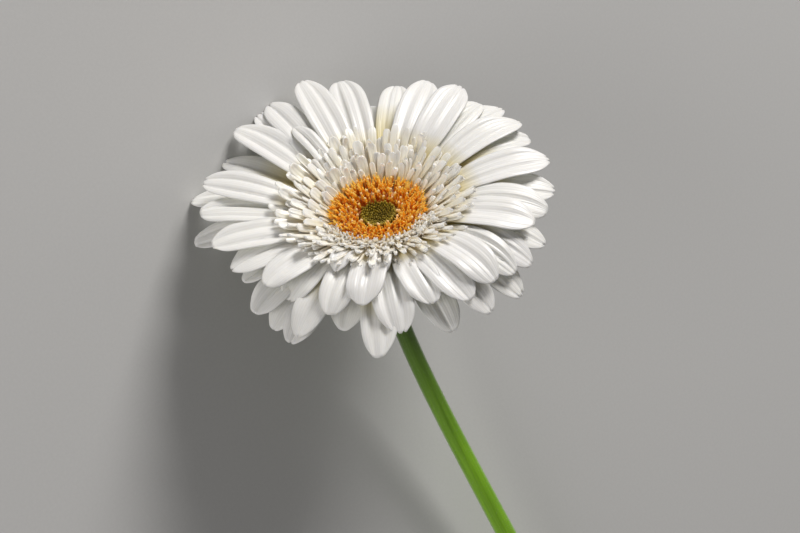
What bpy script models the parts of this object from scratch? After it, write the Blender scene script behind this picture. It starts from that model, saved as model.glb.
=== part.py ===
"""A cut gerbera flower lying down: the head leans on the rim of its petals and the stem lies behind it.

The head is modelled in its own frame, in millimetres: the face of the disc at z = 0, the axis along +Z.
An empty places that frame in the part's frame, where the flower rests on z = 0 with its stem along +Y.
"""

import math
import random
from dataclasses import dataclass

import bmesh
import bpy
import numpy as np

MM = 0.001
SEED = 11

# How the flower lies
HEAD_TILT = math.radians(55.0)
HEAD_HEIGHT = 44.5
HEAD_X = 4.3
HEAD_Y = -129.0

# Nested cores that carry the florets, each in the flared cup of the next: a radius, a z, or (radius, z)
CORE_BOTTOM = -8.3
CORE_SIDES = 36
CUP_SIDES = 24
BUD_RADIUS = 5.4
BUD_RIM = -2.2
BUD_CENTRE = -5.0
BUD_BUMP = 0.55
BUD_COUNT = 34
BUD_BREADTH = 1.15
BUD_SIDES = 30
BUD_CIRCLES = 7
DISC_HOLE = 5.75
DISC_HOLE_RIM = -2.9
DISC_RIM = (12.4, -1.6)
DISC_FOOT = 7.4
TRANS_HOLE_RIM = (12.85, -1.6)
TRANS_HOLE_FOOT = 7.85
TRANS_RIM = (15.0, -1.5)
TRANS_FOOT = 9.4
RAY_HOLE_FOOT = 9.87
RAY_HOLE_RIM = (14.72, -2.4)
RAY_RIM = (15.9, -2.9)
RAY_SIDE_FOOT = -5.0
RAY_FOOT = 11.3

# Ray florets as direction in degrees, reach from the axis, and lift above the rule of their whorl
UPPER_WHORL = [
    (-175, 51, 0), (-161, 48, 0), (-146, 44, 0), (-135, 42, 0), (-116, 42, 0), (-102, 40, 3), (-88, 47, -3),
    (-72, 41, 0), (-61, 47, 0), (-48, 46, 1), (-39, 48, -1), (-18, 48, 1), (-9, 51, -1), (12, 55, 0),
    (33, 57, 0), (48, 55, 0), (57, 58, 1), (68, 58, 0), (96, 58, 2), (107, 61, 3), (120, 58, 3),
    (135, 57, 3), (159, 55, 2), (173, 54, 1),
]
LOWER_WHORL = [
    (-162, 45, 0), (-145, 49, 1), (-139, 47, -1), (-129, 50, -2), (-125, 47, 1), (-112, 40, 0), (-96, 51, 0),
    (-69, 47, 0), (-54, 49, 1), (-42, 52, 1), (-30, 50, 3), (-21, 51, 3), (2, 54, 4), (27, 56, 6),
    (44, 60, 5), (63, 56, 3), (79, 62, 3), (89, 57, 0), (101, 60, 0), (112, 55, 0), (125, 58, 0),
    (144, 57, 0), (160, 60, 0), (175, 57, 0),
]
INNER_WHORL = [(122, 42, 4), (-93, 30, 0), (-119, 30, 0)]
WHORL_TURN = 141.0
HIGHEST_DIRECTION = 95.0

# Each whorl: root, mean height of the tips, how much higher they are at one side, width, rise at the middle
WHORLS = [
    (UPPER_WHORL, (14.9, -3.2), 0.0, 5.0, 12.2, 6.0),
    (LOWER_WHORL, (14.6, -4.5), -8.0, 4.5, 11.6, 6.5),
    (INNER_WHORL, (14.9, -3.0), 1.5, 3.5, 6.6, 3.0),
]
RAY_WIDTHS = (0.94, 1.04)
# Roll of a tip in degrees, and a share of the rise, both greatest at direction 0 and least opposite it
RAY_ROLLS = (-2.0, 6.0)
ROLL_SWING = 6.0
RISE_SWING = 0.45
RAY_BOWS = (-0.9, 0.9)
CLAW_WIDTH = 2.6
SWELL_END = 0.6
SWELL_POWER = 1.1
TIP_START = 0.74
TIP_POWER = 2.6
TIP_TAPER = 0.8
RAY_THICKNESS = 0.7
RIB_HEIGHT = 0.5
RIB_START = 0.3
EDGE_RISE = 0.4
NOTCH = 1.0
CORNER_NOTCH = 0.3
RAY_STATIONS = (0.0, 0.42, 0.84, 1.0)
RAY_COLUMNS = 5
LIFTING_STEPS = 12

# Trans florets, each row as start radius, elevation in degrees, length, how many
TRANS_ROWS = [(12.95, 38.0, 9.2, 24), (13.1, 32.5, 13.0, 29), (13.3, 27.0, 17.0, 31)]
TRANS_TURNS = (-0.16, 0.16)
TRANS_TILTS = (-2.0, 5.0)
TRANS_LENGTHS = (0.9, 1.06)
TRANS_WIDTHS = (0.9, 1.05)
TRANS_START = -2.3
TRANS_WIDTH = 2.3
TRANS_BROADENING = 0.26
BROADEST_DIRECTION = math.radians(130.0 + WHORL_TURN)
TRANS_DEPTH = 1.0
TRANS_FACE = 0.4
TRANS_CURL = math.radians(6.0)
TRANS_STATIONS = ((0.0, 0.75), (0.8, 1.0), (1.0, 0.55))

# Disc florets, each row as radius, how many, lean outwards in degrees, height
DISC_ROWS = [
    (6.6, 14, 2.0, 2.5), (7.7, 17, 4.0, 3.4), (8.8, 20, 10.0, 4.2),
    (9.8, 22, 19.0, 4.3), (10.8, 24, 31.0, 4.2), (11.6, 26, 43.0, 4.4),
]
DISC_TURNS = (-0.2, 0.2)
DISC_LEANS = (-5.0, 5.0)
DISC_HEIGHTS = (0.85, 1.1)
DISC_WIDTH = 1.2
DISC_SUNK = 0.8
DISC_WAIST = 0.62

# The green cup as (radius, z), its bracts as how many, first and last share of its side, width
CUP_SIDE = [(3.4, -25.9), (5.2, -24.0), (9.2, -20.4), (12.4, -15.6), (14.4, -10.6), (15.1, -6.9)]
CUP_LIP = (14.6, -6.5)
CUP_FLOOR = (11.5, -8.65)
BRACT_ROWS = [(12, 0.08, 0.68, 3.4), (12, 0.34, 1.05, 3.3)]
BRACT_STATIONS = ((0.0, 0.6), (0.5, 1.0), (1.0, 0.14))
BRACT_PROUD = 0.55
BRACT_KEEL = 0.3
BRACT_SUNK = 0.8
BRACT_FLARE = 0.9
BRACT_TIP_GAP = 0.35

# The stem: it leaves the cup along the head's axis and bends until it lies on the surface
STEM_TOP = -26.25
STEM_LENGTH = 276.0
STEM_BEND = 22.0
STEM_TOP_RADIUS = 2.75
STEM_END_RADIUS = 3.15
STEM_SIDES = 14
STEM_RIDGE = 0.05
STEM_STEPS = 28
STEM_CROWDING = 1.5
STEM_FINE = 8
STEEPEST_END = math.radians(8.0)
HALVINGS = 40

CREASE = math.radians(40.0)

WHITE = (0.86, 0.86, 0.82)
CREAM = (0.84, 0.82, 0.72)
ORANGE = (0.90, 0.34, 0.03)
OLIVE = (0.14, 0.16, 0.03)
LEAF_GREEN = (0.16, 0.27, 0.06)
STEM_GREEN = (0.22, 0.40, 0.06)

UP = np.array([0.0, 0.0, 1.0])
RIGHT = np.array([1.0, 0.0, 0.0])


@dataclass
class Ray:
    """One ray floret: where it starts and ends in the plane of its axis, and how it is shaped."""

    root: tuple
    direction: float
    reach: float
    height: float
    width: float
    rise: float
    roll: float
    bow: float


def clear_scene():
    """Removes the objects that a new file starts with."""
    for obj in list(bpy.data.objects):
        bpy.data.objects.remove(obj, do_unlink=True)


def material(name, colour, roughness):
    """A material of one colour, with no metal in it."""
    made = bpy.data.materials.new(name)
    made.use_nodes = True
    shader = made.node_tree.nodes["Principled BSDF"]
    shader.inputs["Base Color"].default_value = (*colour, 1.0)
    shader.inputs["Roughness"].default_value = roughness
    shader.inputs["Metallic"].default_value = 0.0
    made.diffuse_color = (*colour, 1.0)
    return made


def mesh_object(name, points, faces, collection=None):
    """A closed object from points in millimetres and a list of faces, with its faces pointing out."""
    mesh = bpy.data.meshes.new(name)
    mesh.from_pydata((np.asarray(points, float) * MM).tolist(), [], faces)
    work = bmesh.new()
    work.from_mesh(mesh)
    bmesh.ops.recalc_face_normals(work, faces=work.faces)
    work.to_mesh(mesh)
    work.free()
    obj = bpy.data.objects.new(name, mesh)
    (collection or bpy.context.scene.collection).objects.link(obj)
    return obj


def turned(name, outline, sides, closed):
    """An outline of (radius, z) carried round the axis. A radius of 0 is a pole."""
    points = []
    rings = []
    for radius, z in outline:
        if radius == 0:
            rings.append([len(points)] * sides)
            points.append((0.0, 0.0, z))
            continue
        rings.append(list(range(len(points), len(points) + sides)))
        turns = [2 * math.pi * i / sides for i in range(sides)]
        points += [(radius * math.cos(turn), radius * math.sin(turn), z) for turn in turns]
    faces = []
    following = rings[1:] + rings[:1] if closed else rings[1:]
    for first, second in zip(rings, following):
        for i in range(sides):
            j = (i + 1) % sides
            faces.append(list(dict.fromkeys([first[i], first[j], second[j], second[i]])))
    return mesh_object(name, points, faces)


def blade(name, top, under, collection):
    """A thin closed body between two grids of points, split along the same diagonals on both faces."""
    rows, columns = top.shape[:2]
    count = rows * columns
    faces = []
    for i in range(rows - 1):
        for j in range(columns - 1):
            a = i * columns + j
            b, c, d = a + 1, a + columns + 1, a + columns
            faces += [(a, b, c), (a, c, d)]
            faces += [(count + a, count + c, count + b), (count + a, count + d, count + c)]
    edge = list(range(columns))
    edge += [i * columns + columns - 1 for i in range(1, rows)]
    edge += [(rows - 1) * columns + j for j in range(columns - 2, -1, -1)]
    edge += [i * columns for i in range(rows - 2, 0, -1)]
    for a, b in zip(edge, edge[1:] + edge[:1]):
        faces += [(a, b, count + b), (a, count + b, count + a)]
    return mesh_object(name, np.concatenate([top.reshape(-1, 3), under.reshape(-1, 3)]), faces, collection)


def lofted(name, rings, collection=None, point=None):
    """A closed body through rings of points, ending in a flat cap or in one point."""
    rings = np.asarray(rings, float)
    count, sides = rings.shape[:2]
    points = rings.reshape(-1, 3).tolist()
    faces = [list(range(sides))]
    for i in range(count - 1):
        for j in range(sides):
            a, b = i * sides + j, i * sides + (j + 1) % sides
            faces += [(a, b, b + sides), (a, b + sides, a + sides)]
    last = [(count - 1) * sides + j for j in range(sides)]
    if point is None:
        faces.append(last)
    else:
        points.append(list(point))
        faces += [(last[j], last[(j + 1) % sides], len(points) - 1) for j in range(sides)]
    return mesh_object(name, points, faces, collection)


def repeats(name):
    """A collection for a node's repeated pieces."""
    made = bpy.data.collections.new(name)
    bpy.context.scene.collection.children.link(made)
    return made


def keep_outer_shell(mesh):
    """Deletes every shell but the largest, which fills sealed hollows and drops loose scraps."""
    work = bmesh.new()
    work.from_mesh(mesh)
    left = set(work.faces)
    shells = []
    while left:
        shell = [left.pop()]
        for face in shell:
            for edge in face.edges:
                near = [other for other in edge.link_faces if other in left]
                left.difference_update(near)
                shell.extend(near)
        shells.append(shell)
    largest = max(shells, key=len)
    spare = [face for shell in shells if shell is not largest for face in shell]
    bmesh.ops.delete(work, geom=spare, context="FACES")
    work.to_mesh(mesh)
    work.free()


def fused(core, collection):
    """The core with every piece of the collection joined to it by one Boolean union."""
    union = core.modifiers.new("union", "BOOLEAN")
    union.operation = "UNION"
    union.operand_type = "COLLECTION"
    union.collection = collection
    union.solver = "MANIFOLD"
    graph = bpy.context.evaluated_depsgraph_get()
    joined = bpy.data.meshes.new_from_object(core.evaluated_get(graph))
    core.modifiers.clear()
    core.data = joined
    for obj in list(collection.objects):
        bpy.data.objects.remove(obj, do_unlink=True)
    bpy.data.collections.remove(collection)
    keep_outer_shell(joined)
    return core


def outward(direction):
    """Unit vectors outward and sideways at a direction round the head's axis."""
    out = np.array([math.cos(direction), math.sin(direction), 0.0])
    side = np.array([-math.sin(direction), math.cos(direction), 0.0])
    return out, side


def ray_florets_list():
    """Every ray floret of the three whorls, with small seeded differences in width, roll and bow."""
    draw = random.Random(SEED)
    made = []
    for whorl, root, mean, swing, width, rise in WHORLS:
        for direction, reach, lift in whorl:
            side = math.cos(math.radians(direction - HIGHEST_DIRECTION))
            swung = math.cos(math.radians(direction))
            made.append(
                Ray(
                    root=root,
                    direction=math.radians(direction + WHORL_TURN),
                    reach=reach,
                    height=mean + swing * side + lift,
                    width=width * draw.uniform(*RAY_WIDTHS),
                    rise=rise * (1 + RISE_SWING * swung),
                    roll=math.radians(draw.uniform(*RAY_ROLLS) + ROLL_SWING * swung),
                    bow=draw.uniform(*RAY_BOWS),
                )
            )
    return made


def ray_outline(t, width):
    """Half the width of a ray floret, t along it: a narrow claw, then broad, then a blunt round tip."""
    claw = CLAW_WIDTH / width
    swell = np.sin(0.5 * math.pi * np.clip(t / SWELL_END, 0, 1)) ** SWELL_POWER
    rounding = np.clip((t - TIP_START) / (1 - TIP_START), 0, 1) ** TIP_POWER
    return 0.5 * width * (claw + (1 - claw) * swell) * np.sqrt(1 - TIP_TAPER * rounding)


def ray_surface(ray, height, t, u):
    """Points at t along and u across a ray floret's upper face, and the direction of its thickness.

    The centre line is a quadratic Bezier curve in the plane of the axis, from root to tip, whose middle
    point is raised. Across it lie two ribs beside a groove, and the edges rise. The tip is notched: it
    ends short at its middle, and a little at its corners. The section rolls about the centre line towards
    the tip.
    """
    root, tip = np.array(ray.root), np.array([ray.reach, height])
    middle = 0.5 * (root + tip) + np.array([0.0, ray.rise])
    notch = np.cos(math.pi * u) ** 2 * np.where(np.abs(u) > 0.5, CORNER_NOTCH, 1.0)
    short = NOTCH / np.linalg.norm(tip - root) * notch
    s = (t * (1 - short * t**6))[..., None]
    line = (1 - s) ** 2 * root + 2 * s * (1 - s) * middle + s**2 * tip
    slope = (1 - s) * (middle - root) + s * (tip - middle)
    slope = slope / np.linalg.norm(slope, axis=-1, keepdims=True)
    half = ray_outline(t, ray.width)
    ribs = RIB_HEIGHT * np.sin(math.pi * u) ** 2 * np.clip(t / RIB_START, 0, 1)
    arch = EDGE_RISE * u**2 * (2 * half / ray.width) ** 2
    roll = ray.roll * t
    across = u * half * np.cos(roll) - (ribs + arch) * np.sin(roll) + 4 * ray.bow * t * (1 - t)
    lift = u * half * np.sin(roll) + (ribs + arch) * np.cos(roll)
    out, side = outward(ray.direction)
    normal = -slope[..., 1:] * out + slope[..., :1] * UP
    points = line[..., :1] * out + line[..., 1:] * UP + across[..., None] * side + lift[..., None] * normal
    return points, normal * np.cos(roll)[..., None] - side * np.sin(roll)[..., None]


def above_surface(points):
    """How far points of the head's frame lie above the surface that the flower rests on."""
    return HEAD_HEIGHT + points[..., 1] * math.sin(HEAD_TILT) + points[..., 2] * math.cos(HEAD_TILT)


def ray_faces(ray):
    """The upper and under faces of a ray floret, its tip raised where it would sink into the surface."""
    t, u = np.meshgrid(np.array(RAY_STATIONS), np.linspace(-1, 1, RAY_COLUMNS), indexing="ij")
    height = ray.height
    for _ in range(LIFTING_STEPS):
        top, normal = ray_surface(ray, height, t, u)
        under = top - RAY_THICKNESS * normal
        sunk = min(above_surface(top).min(), above_surface(under).min(), 0.0)
        height -= sunk / math.cos(HEAD_TILT)
    return top, under


def make_ray_florets():
    """The ring that the ray florets grow from, with the three whorls fused to it."""
    foot = [(RAY_RIM[0], RAY_SIDE_FOOT), (RAY_FOOT, CORE_BOTTOM)]
    outline = [(RAY_HOLE_FOOT, CORE_BOTTOM), RAY_HOLE_RIM, RAY_RIM, *foot]
    ring = turned("ray_florets", outline, CORE_SIDES, True)
    florets = repeats("rays")
    for number, ray in enumerate(ray_florets_list()):
        top, under = ray_faces(ray)
        blade(f"ray_{number}", top, under, florets)
    return fused(ring, florets)


def trans_rings(direction, start, elevation, length, width):
    """Three-sided sections of a trans floret: a narrow strap with a broader end, curved up a little."""
    out, side = outward(direction)
    rings = []
    for t, broad in TRANS_STATIONS:
        bend = elevation + TRANS_CURL * (t - 0.5)
        along = math.cos(bend) * out + math.sin(bend) * UP
        up = math.cos(bend) * UP - math.sin(bend) * out
        centre = start * out + TRANS_START * UP + t * length * along
        half, depth = 0.5 * width * broad, TRANS_DEPTH * (0.8 + 0.2 * broad)
        face = centre + TRANS_FACE * depth * up
        keel = centre - (1 - TRANS_FACE) * depth * up
        rings.append([face - half * side, face + half * side, keel])
    return rings


def make_trans_florets():
    """The ring of small white florets between the rays and the disc, in three rows."""
    outline = [(TRANS_HOLE_FOOT, CORE_BOTTOM), TRANS_HOLE_RIM, TRANS_RIM, (TRANS_FOOT, CORE_BOTTOM)]
    ring = turned("trans_florets", outline, CORE_SIDES, True)
    florets = repeats("trans")
    draw = random.Random(SEED + 1)
    for row, (start, elevation, length, count) in enumerate(TRANS_ROWS):
        for i in range(count):
            direction = 2 * math.pi * (i + row / len(TRANS_ROWS) + draw.uniform(*TRANS_TURNS)) / count
            tilt = math.radians(elevation + draw.uniform(*TRANS_TILTS))
            long = length * draw.uniform(*TRANS_LENGTHS)
            broader = 1 + TRANS_BROADENING * math.cos(direction - BROADEST_DIRECTION)
            wide = TRANS_WIDTH * broader * draw.uniform(*TRANS_WIDTHS)
            lofted(f"trans_{row}_{i}", trans_rings(direction, start, tilt, long, wide), florets)
    return fused(ring, florets)


def make_disc_florets():
    """The ring of orange florets, each a slim three-sided spike that leans out more towards the rim."""
    outline = [(DISC_HOLE, CORE_BOTTOM), (DISC_HOLE, DISC_HOLE_RIM), DISC_RIM, (DISC_FOOT, CORE_BOTTOM)]
    ring = turned("disc_florets", outline, CORE_SIDES, True)
    florets = repeats("disc")
    draw = random.Random(SEED + 2)
    rise = (DISC_RIM[1] - DISC_HOLE_RIM) / (DISC_RIM[0] - DISC_HOLE)
    for row, (radius, count, lean, height) in enumerate(DISC_ROWS):
        for i in range(count):
            out, side = outward(2 * math.pi * (i + 0.5 * (row % 2) + draw.uniform(*DISC_TURNS)) / count)
            tilt = math.radians(lean + draw.uniform(*DISC_LEANS))
            along = math.sin(tilt) * out + math.cos(tilt) * UP
            across = math.cos(tilt) * out - math.sin(tilt) * UP
            foot = radius * out + (DISC_HOLE_RIM + rise * (radius - DISC_HOLE)) * UP
            tall = height * draw.uniform(*DISC_HEIGHTS)
            rings = []
            for reach in (-DISC_SUNK, DISC_WAIST * tall):
                centre = foot + reach * along
                turns = [2 * math.pi * (k / 3 + 0.5) for k in range(3)]
                rings.append(
                    [centre + 0.5 * DISC_WIDTH * (math.cos(a) * across + math.sin(a) * side) for a in turns]
                )
            lofted(f"disc_{row}_{i}", rings, florets, foot + tall * along)
    return fused(ring, florets)


def make_disc_buds():
    """The sunken green middle of unopened florets: a plug whose top is raised into rounded buds.

    The buds lie on a spiral with the golden angle between them, and each is a small paraboloid.
    """
    golden = math.pi * (3 - math.sqrt(5))
    number = np.arange(BUD_COUNT)
    reach = BUD_RADIUS * np.sqrt((number + 0.5) / BUD_COUNT)
    buds = np.stack([reach * np.cos(golden * number), reach * np.sin(golden * number)], axis=1)
    size = BUD_BREADTH * BUD_RADIUS / math.sqrt(BUD_COUNT)
    points = []
    for i in range(BUD_CIRCLES):
        radius = BUD_RADIUS * (1 - i / BUD_CIRCLES)
        turn = 2 * math.pi * (np.arange(BUD_SIDES) + 0.5 * (i % 2)) / BUD_SIDES
        flat = np.stack([radius * np.cos(turn), radius * np.sin(turn)], axis=1)
        near = np.linalg.norm(flat[:, None] - buds[None], axis=2).min(axis=1)
        bump = BUD_BUMP * np.clip(1 - (near / size) ** 2, 0, 1) * (i > 0)
        dish = BUD_CENTRE + (BUD_RIM - BUD_CENTRE) * (radius / BUD_RADIUS) ** 2
        points += np.column_stack([flat, dish + bump]).tolist()
    middle = len(points)
    points.append([0.0, 0.0, BUD_CENTRE + BUD_BUMP])
    foot = len(points)
    turn = 2 * math.pi * np.arange(BUD_SIDES) / BUD_SIDES
    points += np.column_stack(
        [BUD_RADIUS * np.cos(turn), BUD_RADIUS * np.sin(turn), np.full(BUD_SIDES, CORE_BOTTOM)]
    ).tolist()
    faces = [list(range(foot, foot + BUD_SIDES))]
    for j in range(BUD_SIDES):
        k = (j + 1) % BUD_SIDES
        faces.append((foot + j, foot + k, k, j))
        faces.append(((BUD_CIRCLES - 1) * BUD_SIDES + j, (BUD_CIRCLES - 1) * BUD_SIDES + k, middle))
        for i in range(BUD_CIRCLES - 1):
            a, b = i * BUD_SIDES + j, i * BUD_SIDES + k
            faces += [(a, b, a + BUD_SIDES), (b, b + BUD_SIDES, a + BUD_SIDES)]
    return mesh_object("disc_buds", points, faces)


def cup_place(share):
    """The point on the cup's side at a share of its length, and the unit normal out of the cup there.

    Past the rim the side goes on in its last direction.
    """
    corners = np.array(CUP_SIDE)
    steps = np.diff(corners, axis=0)
    lengths = np.linalg.norm(steps, axis=1)
    total = lengths.sum()
    ends = np.cumsum(lengths) / total
    k = min(int(np.searchsorted(ends, share)), len(steps) - 1)
    before = ends[k] - lengths[k] / total
    along = steps[k] / lengths[k]
    place = corners[k] + (share - before) * total * along
    return place, np.array([along[1], -along[0]])


def make_involucre():
    """The green cup under the head, with two rows of pointed bracts that lie on it like tiles."""
    outline = [(0, CUP_SIDE[0][1]), *CUP_SIDE, CUP_LIP, CUP_FLOOR, (0, CUP_FLOOR[1])]
    cup = turned("involucre", outline, CUP_SIDES, False)
    bracts = repeats("bracts")
    for row, (count, first, last, width) in enumerate(BRACT_ROWS):
        for i in range(count):
            out, side = outward(2 * math.pi * (i + 0.5 * row) / count)
            top, under = [], []
            for t, broad in BRACT_STATIONS:
                place, normal = cup_place(first + t * (last - first))
                place = place[0] * out + place[1] * UP
                normal = normal[0] * out + normal[1] * UP
                proud = BRACT_PROUD * (1 + BRACT_FLARE * t**3)
                sunk = BRACT_SUNK * (1 - t**2) - BRACT_TIP_GAP * BRACT_PROUD * t**3
                for u in (-1, 0, 1):
                    edge = place + 0.5 * u * width * broad * side
                    top.append(edge + (proud + BRACT_KEEL * (1 - abs(u))) * normal)
                    under.append(edge - sunk * normal)
            shape = (len(BRACT_STATIONS), 3, 3)
            blade(f"bract_{row}_{i}", np.reshape(top, shape), np.reshape(under, shape), bracts)
    return fused(cup, bracts)


def stem_slope(along, end_slope):
    """Slope below the horizontal: the head's axis at first, falling off exponentially to the end's slope."""
    return end_slope + (0.5 * math.pi - HEAD_TILT - end_slope) * math.exp(-along / STEM_BEND)


def stem_line(end_slope):
    """Centres and slopes of the stem's sections, which stand closer together where it bends."""
    y = HEAD_Y - STEM_TOP * math.sin(HEAD_TILT)
    z = HEAD_HEIGHT + STEM_TOP * math.cos(HEAD_TILT)
    along = 0.0
    line = [(y, z, stem_slope(0.0, end_slope), 0.0)]
    for i in range(1, STEM_STEPS + 1):
        step = (STEM_LENGTH * (i / STEM_STEPS) ** STEM_CROWDING - along) / STEM_FINE
        for _ in range(STEM_FINE):
            slope = stem_slope(along + 0.5 * step, end_slope)
            y += step * math.cos(slope)
            z -= step * math.sin(slope)
            along += step
        line.append((y, z, stem_slope(along, end_slope), along / STEM_LENGTH))
    return line


def resting_end_slope():
    """The end slope, by halving, at which the lowest point of the cut end touches the surface."""
    low, high = 0.0, STEEPEST_END
    for _ in range(HALVINGS):
        middle = 0.5 * (low + high)
        _, z, slope, _ = stem_line(middle)[-1]
        if z > STEM_END_RADIUS * (1 + STEM_RIDGE) * math.cos(slope):
            low = middle
        else:
            high = middle
    return low


def make_stem():
    """The round green stem, faintly ridged, that lies down behind the head."""
    rings = []
    for y, z, slope, share in stem_line(resting_end_slope()):
        up = np.array([0.0, math.sin(slope), math.cos(slope)])
        radius = STEM_TOP_RADIUS + (STEM_END_RADIUS - STEM_TOP_RADIUS) * min(1.0, 2 * share)
        centre = np.array([HEAD_X, y, z])
        ring = []
        for i in range(STEM_SIDES):
            turn = 2 * math.pi * i / STEM_SIDES
            size = radius * (1 + STEM_RIDGE * (-1) ** i)
            ring.append(centre + size * (math.sin(turn) * RIGHT - math.cos(turn) * up))
        rings.append(ring)
    return lofted("stem", rings)


def place_head(parts):
    """Hangs the head's parts on an empty that tilts them and lifts them above the surface."""
    head = bpy.data.objects.new("head", None)
    bpy.context.scene.collection.objects.link(head)
    head.location = (HEAD_X * MM, HEAD_Y * MM, HEAD_HEIGHT * MM)
    head.rotation_euler = (HEAD_TILT, 0, 0)
    for part in parts:
        part.parent = head


def finish(part, skin):
    """Gives a part its material and smooth shading with crisp creases."""
    part.data.materials.clear()
    part.data.materials.append(skin)
    part.data.shade_smooth()
    part.data.set_sharp_from_angle(angle=CREASE)


def main():
    clear_scene()
    rays = make_ray_florets()
    trans = make_trans_florets()
    disc = make_disc_florets()
    buds = make_disc_buds()
    cup = make_involucre()
    stem = make_stem()
    finish(rays, material("white petal", WHITE, 0.5))
    finish(trans, material("cream floret", CREAM, 0.5))
    finish(disc, material("orange floret", ORANGE, 0.55))
    finish(buds, material("olive bud", OLIVE, 0.6))
    finish(cup, material("green bract", LEAF_GREEN, 0.6))
    finish(stem, material("green stem", STEM_GREEN, 0.5))
    place_head([rays, trans, disc, buds, cup])


main()
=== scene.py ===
"""Looks of a cut white gerbera that lies down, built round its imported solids.

The head is worked out in its own frame, in millimetres: the face of the disc at z = 0, its axis along +Z.
in_place carries it to the object's frame, where the flower rests on z = 0 with its stem along +Y.
Each visible piece is a set of closed bodies whose points come from formulas on whole numpy arrays, with t
from 0 to 1 along a petal and u from 1 to -1 across it. A pair of numbers holds the ends of a seeded draw.
"""

import math
import random

import bpy
import numpy as np
from bpy.props import FloatProperty, FloatVectorProperty, IntProperty, PointerProperty
from mathutils import Matrix, Vector


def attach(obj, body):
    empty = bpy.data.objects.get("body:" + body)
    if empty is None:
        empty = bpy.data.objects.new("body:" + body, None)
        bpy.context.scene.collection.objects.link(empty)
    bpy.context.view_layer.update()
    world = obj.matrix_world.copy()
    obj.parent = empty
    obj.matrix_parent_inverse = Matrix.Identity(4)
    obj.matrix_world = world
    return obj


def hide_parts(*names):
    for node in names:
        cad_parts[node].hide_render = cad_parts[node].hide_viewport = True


bl_info = {
    "name": "White gerbera looks",
    "version": (1, 0, 0),
    "blender": (4, 5, 0),
    "location": "View3D > Sidebar > Gerbera",
    "description": "Petals, florets, bracts, hairs and materials of a cut gerbera that lies down",
    "category": "Object",
}

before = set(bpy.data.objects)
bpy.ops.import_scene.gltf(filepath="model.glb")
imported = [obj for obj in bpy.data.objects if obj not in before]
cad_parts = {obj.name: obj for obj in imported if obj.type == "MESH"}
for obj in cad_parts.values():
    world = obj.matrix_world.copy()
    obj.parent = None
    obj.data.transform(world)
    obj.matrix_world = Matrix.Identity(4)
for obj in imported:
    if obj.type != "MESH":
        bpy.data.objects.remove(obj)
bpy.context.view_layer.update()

MM = 0.001
SEED = 11
UP = np.array([0.0, 0.0, 1.0])
RIGHT = np.array([1.0, 0.0, 0.0])
WHITE, BLACK = (1.0, 1.0, 1.0), (0.0, 0.0, 0.0)
GOLDEN_ANGLE = math.pi * (3 - math.sqrt(5))

# Ray florets as direction in degrees, reach from the axis in mm, and lift above the rule of their whorl,
# worked out beforehand from the places of their tips in the photograph, and rounded. A direction of 0 is at
# the photograph's right, and WHORL_TURN brings it to the head's frame.
UPPER_WHORL = [
    (-173, 51, 1), (-161, 48, -0.5), (-144, 44, 1.5), (-137, 41, -1.5), (-115, 42, 0.5), (-102, 40, 3),
    (-88, 46, -3), (-73, 42, 1), (-60, 46, -0.5), (-49, 47, 2), (-39, 48, -2), (-18, 48, 1), (-9, 51, -1),
    (12, 55, 0), (32, 56, 1), (49, 55, -1), (56, 56, 2), (68, 58, 0), (96, 59, 1), (108, 59, 5),
    (120, 59, 2.5), (135, 57, 3.5), (160, 55, 3), (172, 54, 0.5),
]
LOWER_WHORL = [
    (-162, 45, 0), (-145, 49, 1.5), (-139, 47, -2), (-130, 48, -4), (-126, 48, 2), (-112, 40, 0),
    (-96, 51, 0), (-69, 47, 0), (-55, 50, 2), (-41, 51, 0), (-31, 50, 4), (-20, 51, 2), (2, 54, 4),
    (27, 56, 6), (44, 60, 5), (63, 56, 3), (79, 62, 3), (89, 57, 0), (101, 60, 0), (112, 55, 0),
    (125, 58, 0), (144, 56, 0), (160, 60, 0), (175, 57, 0),
]
INNER_WHORL = [(122, 42, 4), (-93, 30, 3), (-119, 30, 3)]
WHORL_TURN = 141.0
HIGHEST_DIRECTION = 95.0

# Each whorl: piece, table, root (radius, z), mean height of the tips, how much higher those at one side
# are, width, rise of the middle, and the share of the length that is yellow
WHORLS = [
    ("upper_rays", UPPER_WHORL, (14.9, -3.2), 0.0, 5.0, 12.2, 6.0, 0.4),
    ("lower_rays", LOWER_WHORL, (14.6, -4.5), -8.0, 4.5, 11.6, 6.5, 0.68),
    ("inner_rays", INNER_WHORL, (14.9, -3.0), 1.5, 3.5, 6.6, 3.0, 0.35),
]
RAY_WIDTHS = (0.94, 1.04)
RAY_ROLLS = (-2.0, 6.0)
RAY_BOWS = (-0.9, 0.9)
# Petals at the photograph's right rise and roll more, and those at the back are slimmer
RISE_SWING = 0.45
ROLL_SWING = 6.0
BACK_SLIMMING = 0.08
# A petal's outline: where it reaches its full width, where its tip starts, and how each runs
SWELL_END, SWELL_POWER = 0.6, 1.1
TIP_START, TIP_POWER, TIP_TAPER = 0.7, 2.2, 0.8
CURL_START = 0.62
NOTCH_REACH = 0.2
CORNER = 0.96
# Waves across a petal for two ribs and for three, the power that broadens their tops, and the height of
# the fine lines in mm
TWO_RIBS, THREE_RIBS, RIB_POWER = 0.84 * math.pi, 1.28 * math.pi, 0.6
FINE_LINES = 0.1
# Slow and quick waves along a petal, as height in mm and speed
SLOW_WAVE, QUICK_WAVE = (0.28, 7), (0.16, 15)
EDGE_THINNING, TIP_THINNING = 0.6, 0.35
RAY_ROWS = 41
RAY_COLUMNS = 29
UPPER_SIDE = 0.48
LIFTING_STEPS = 12

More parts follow.
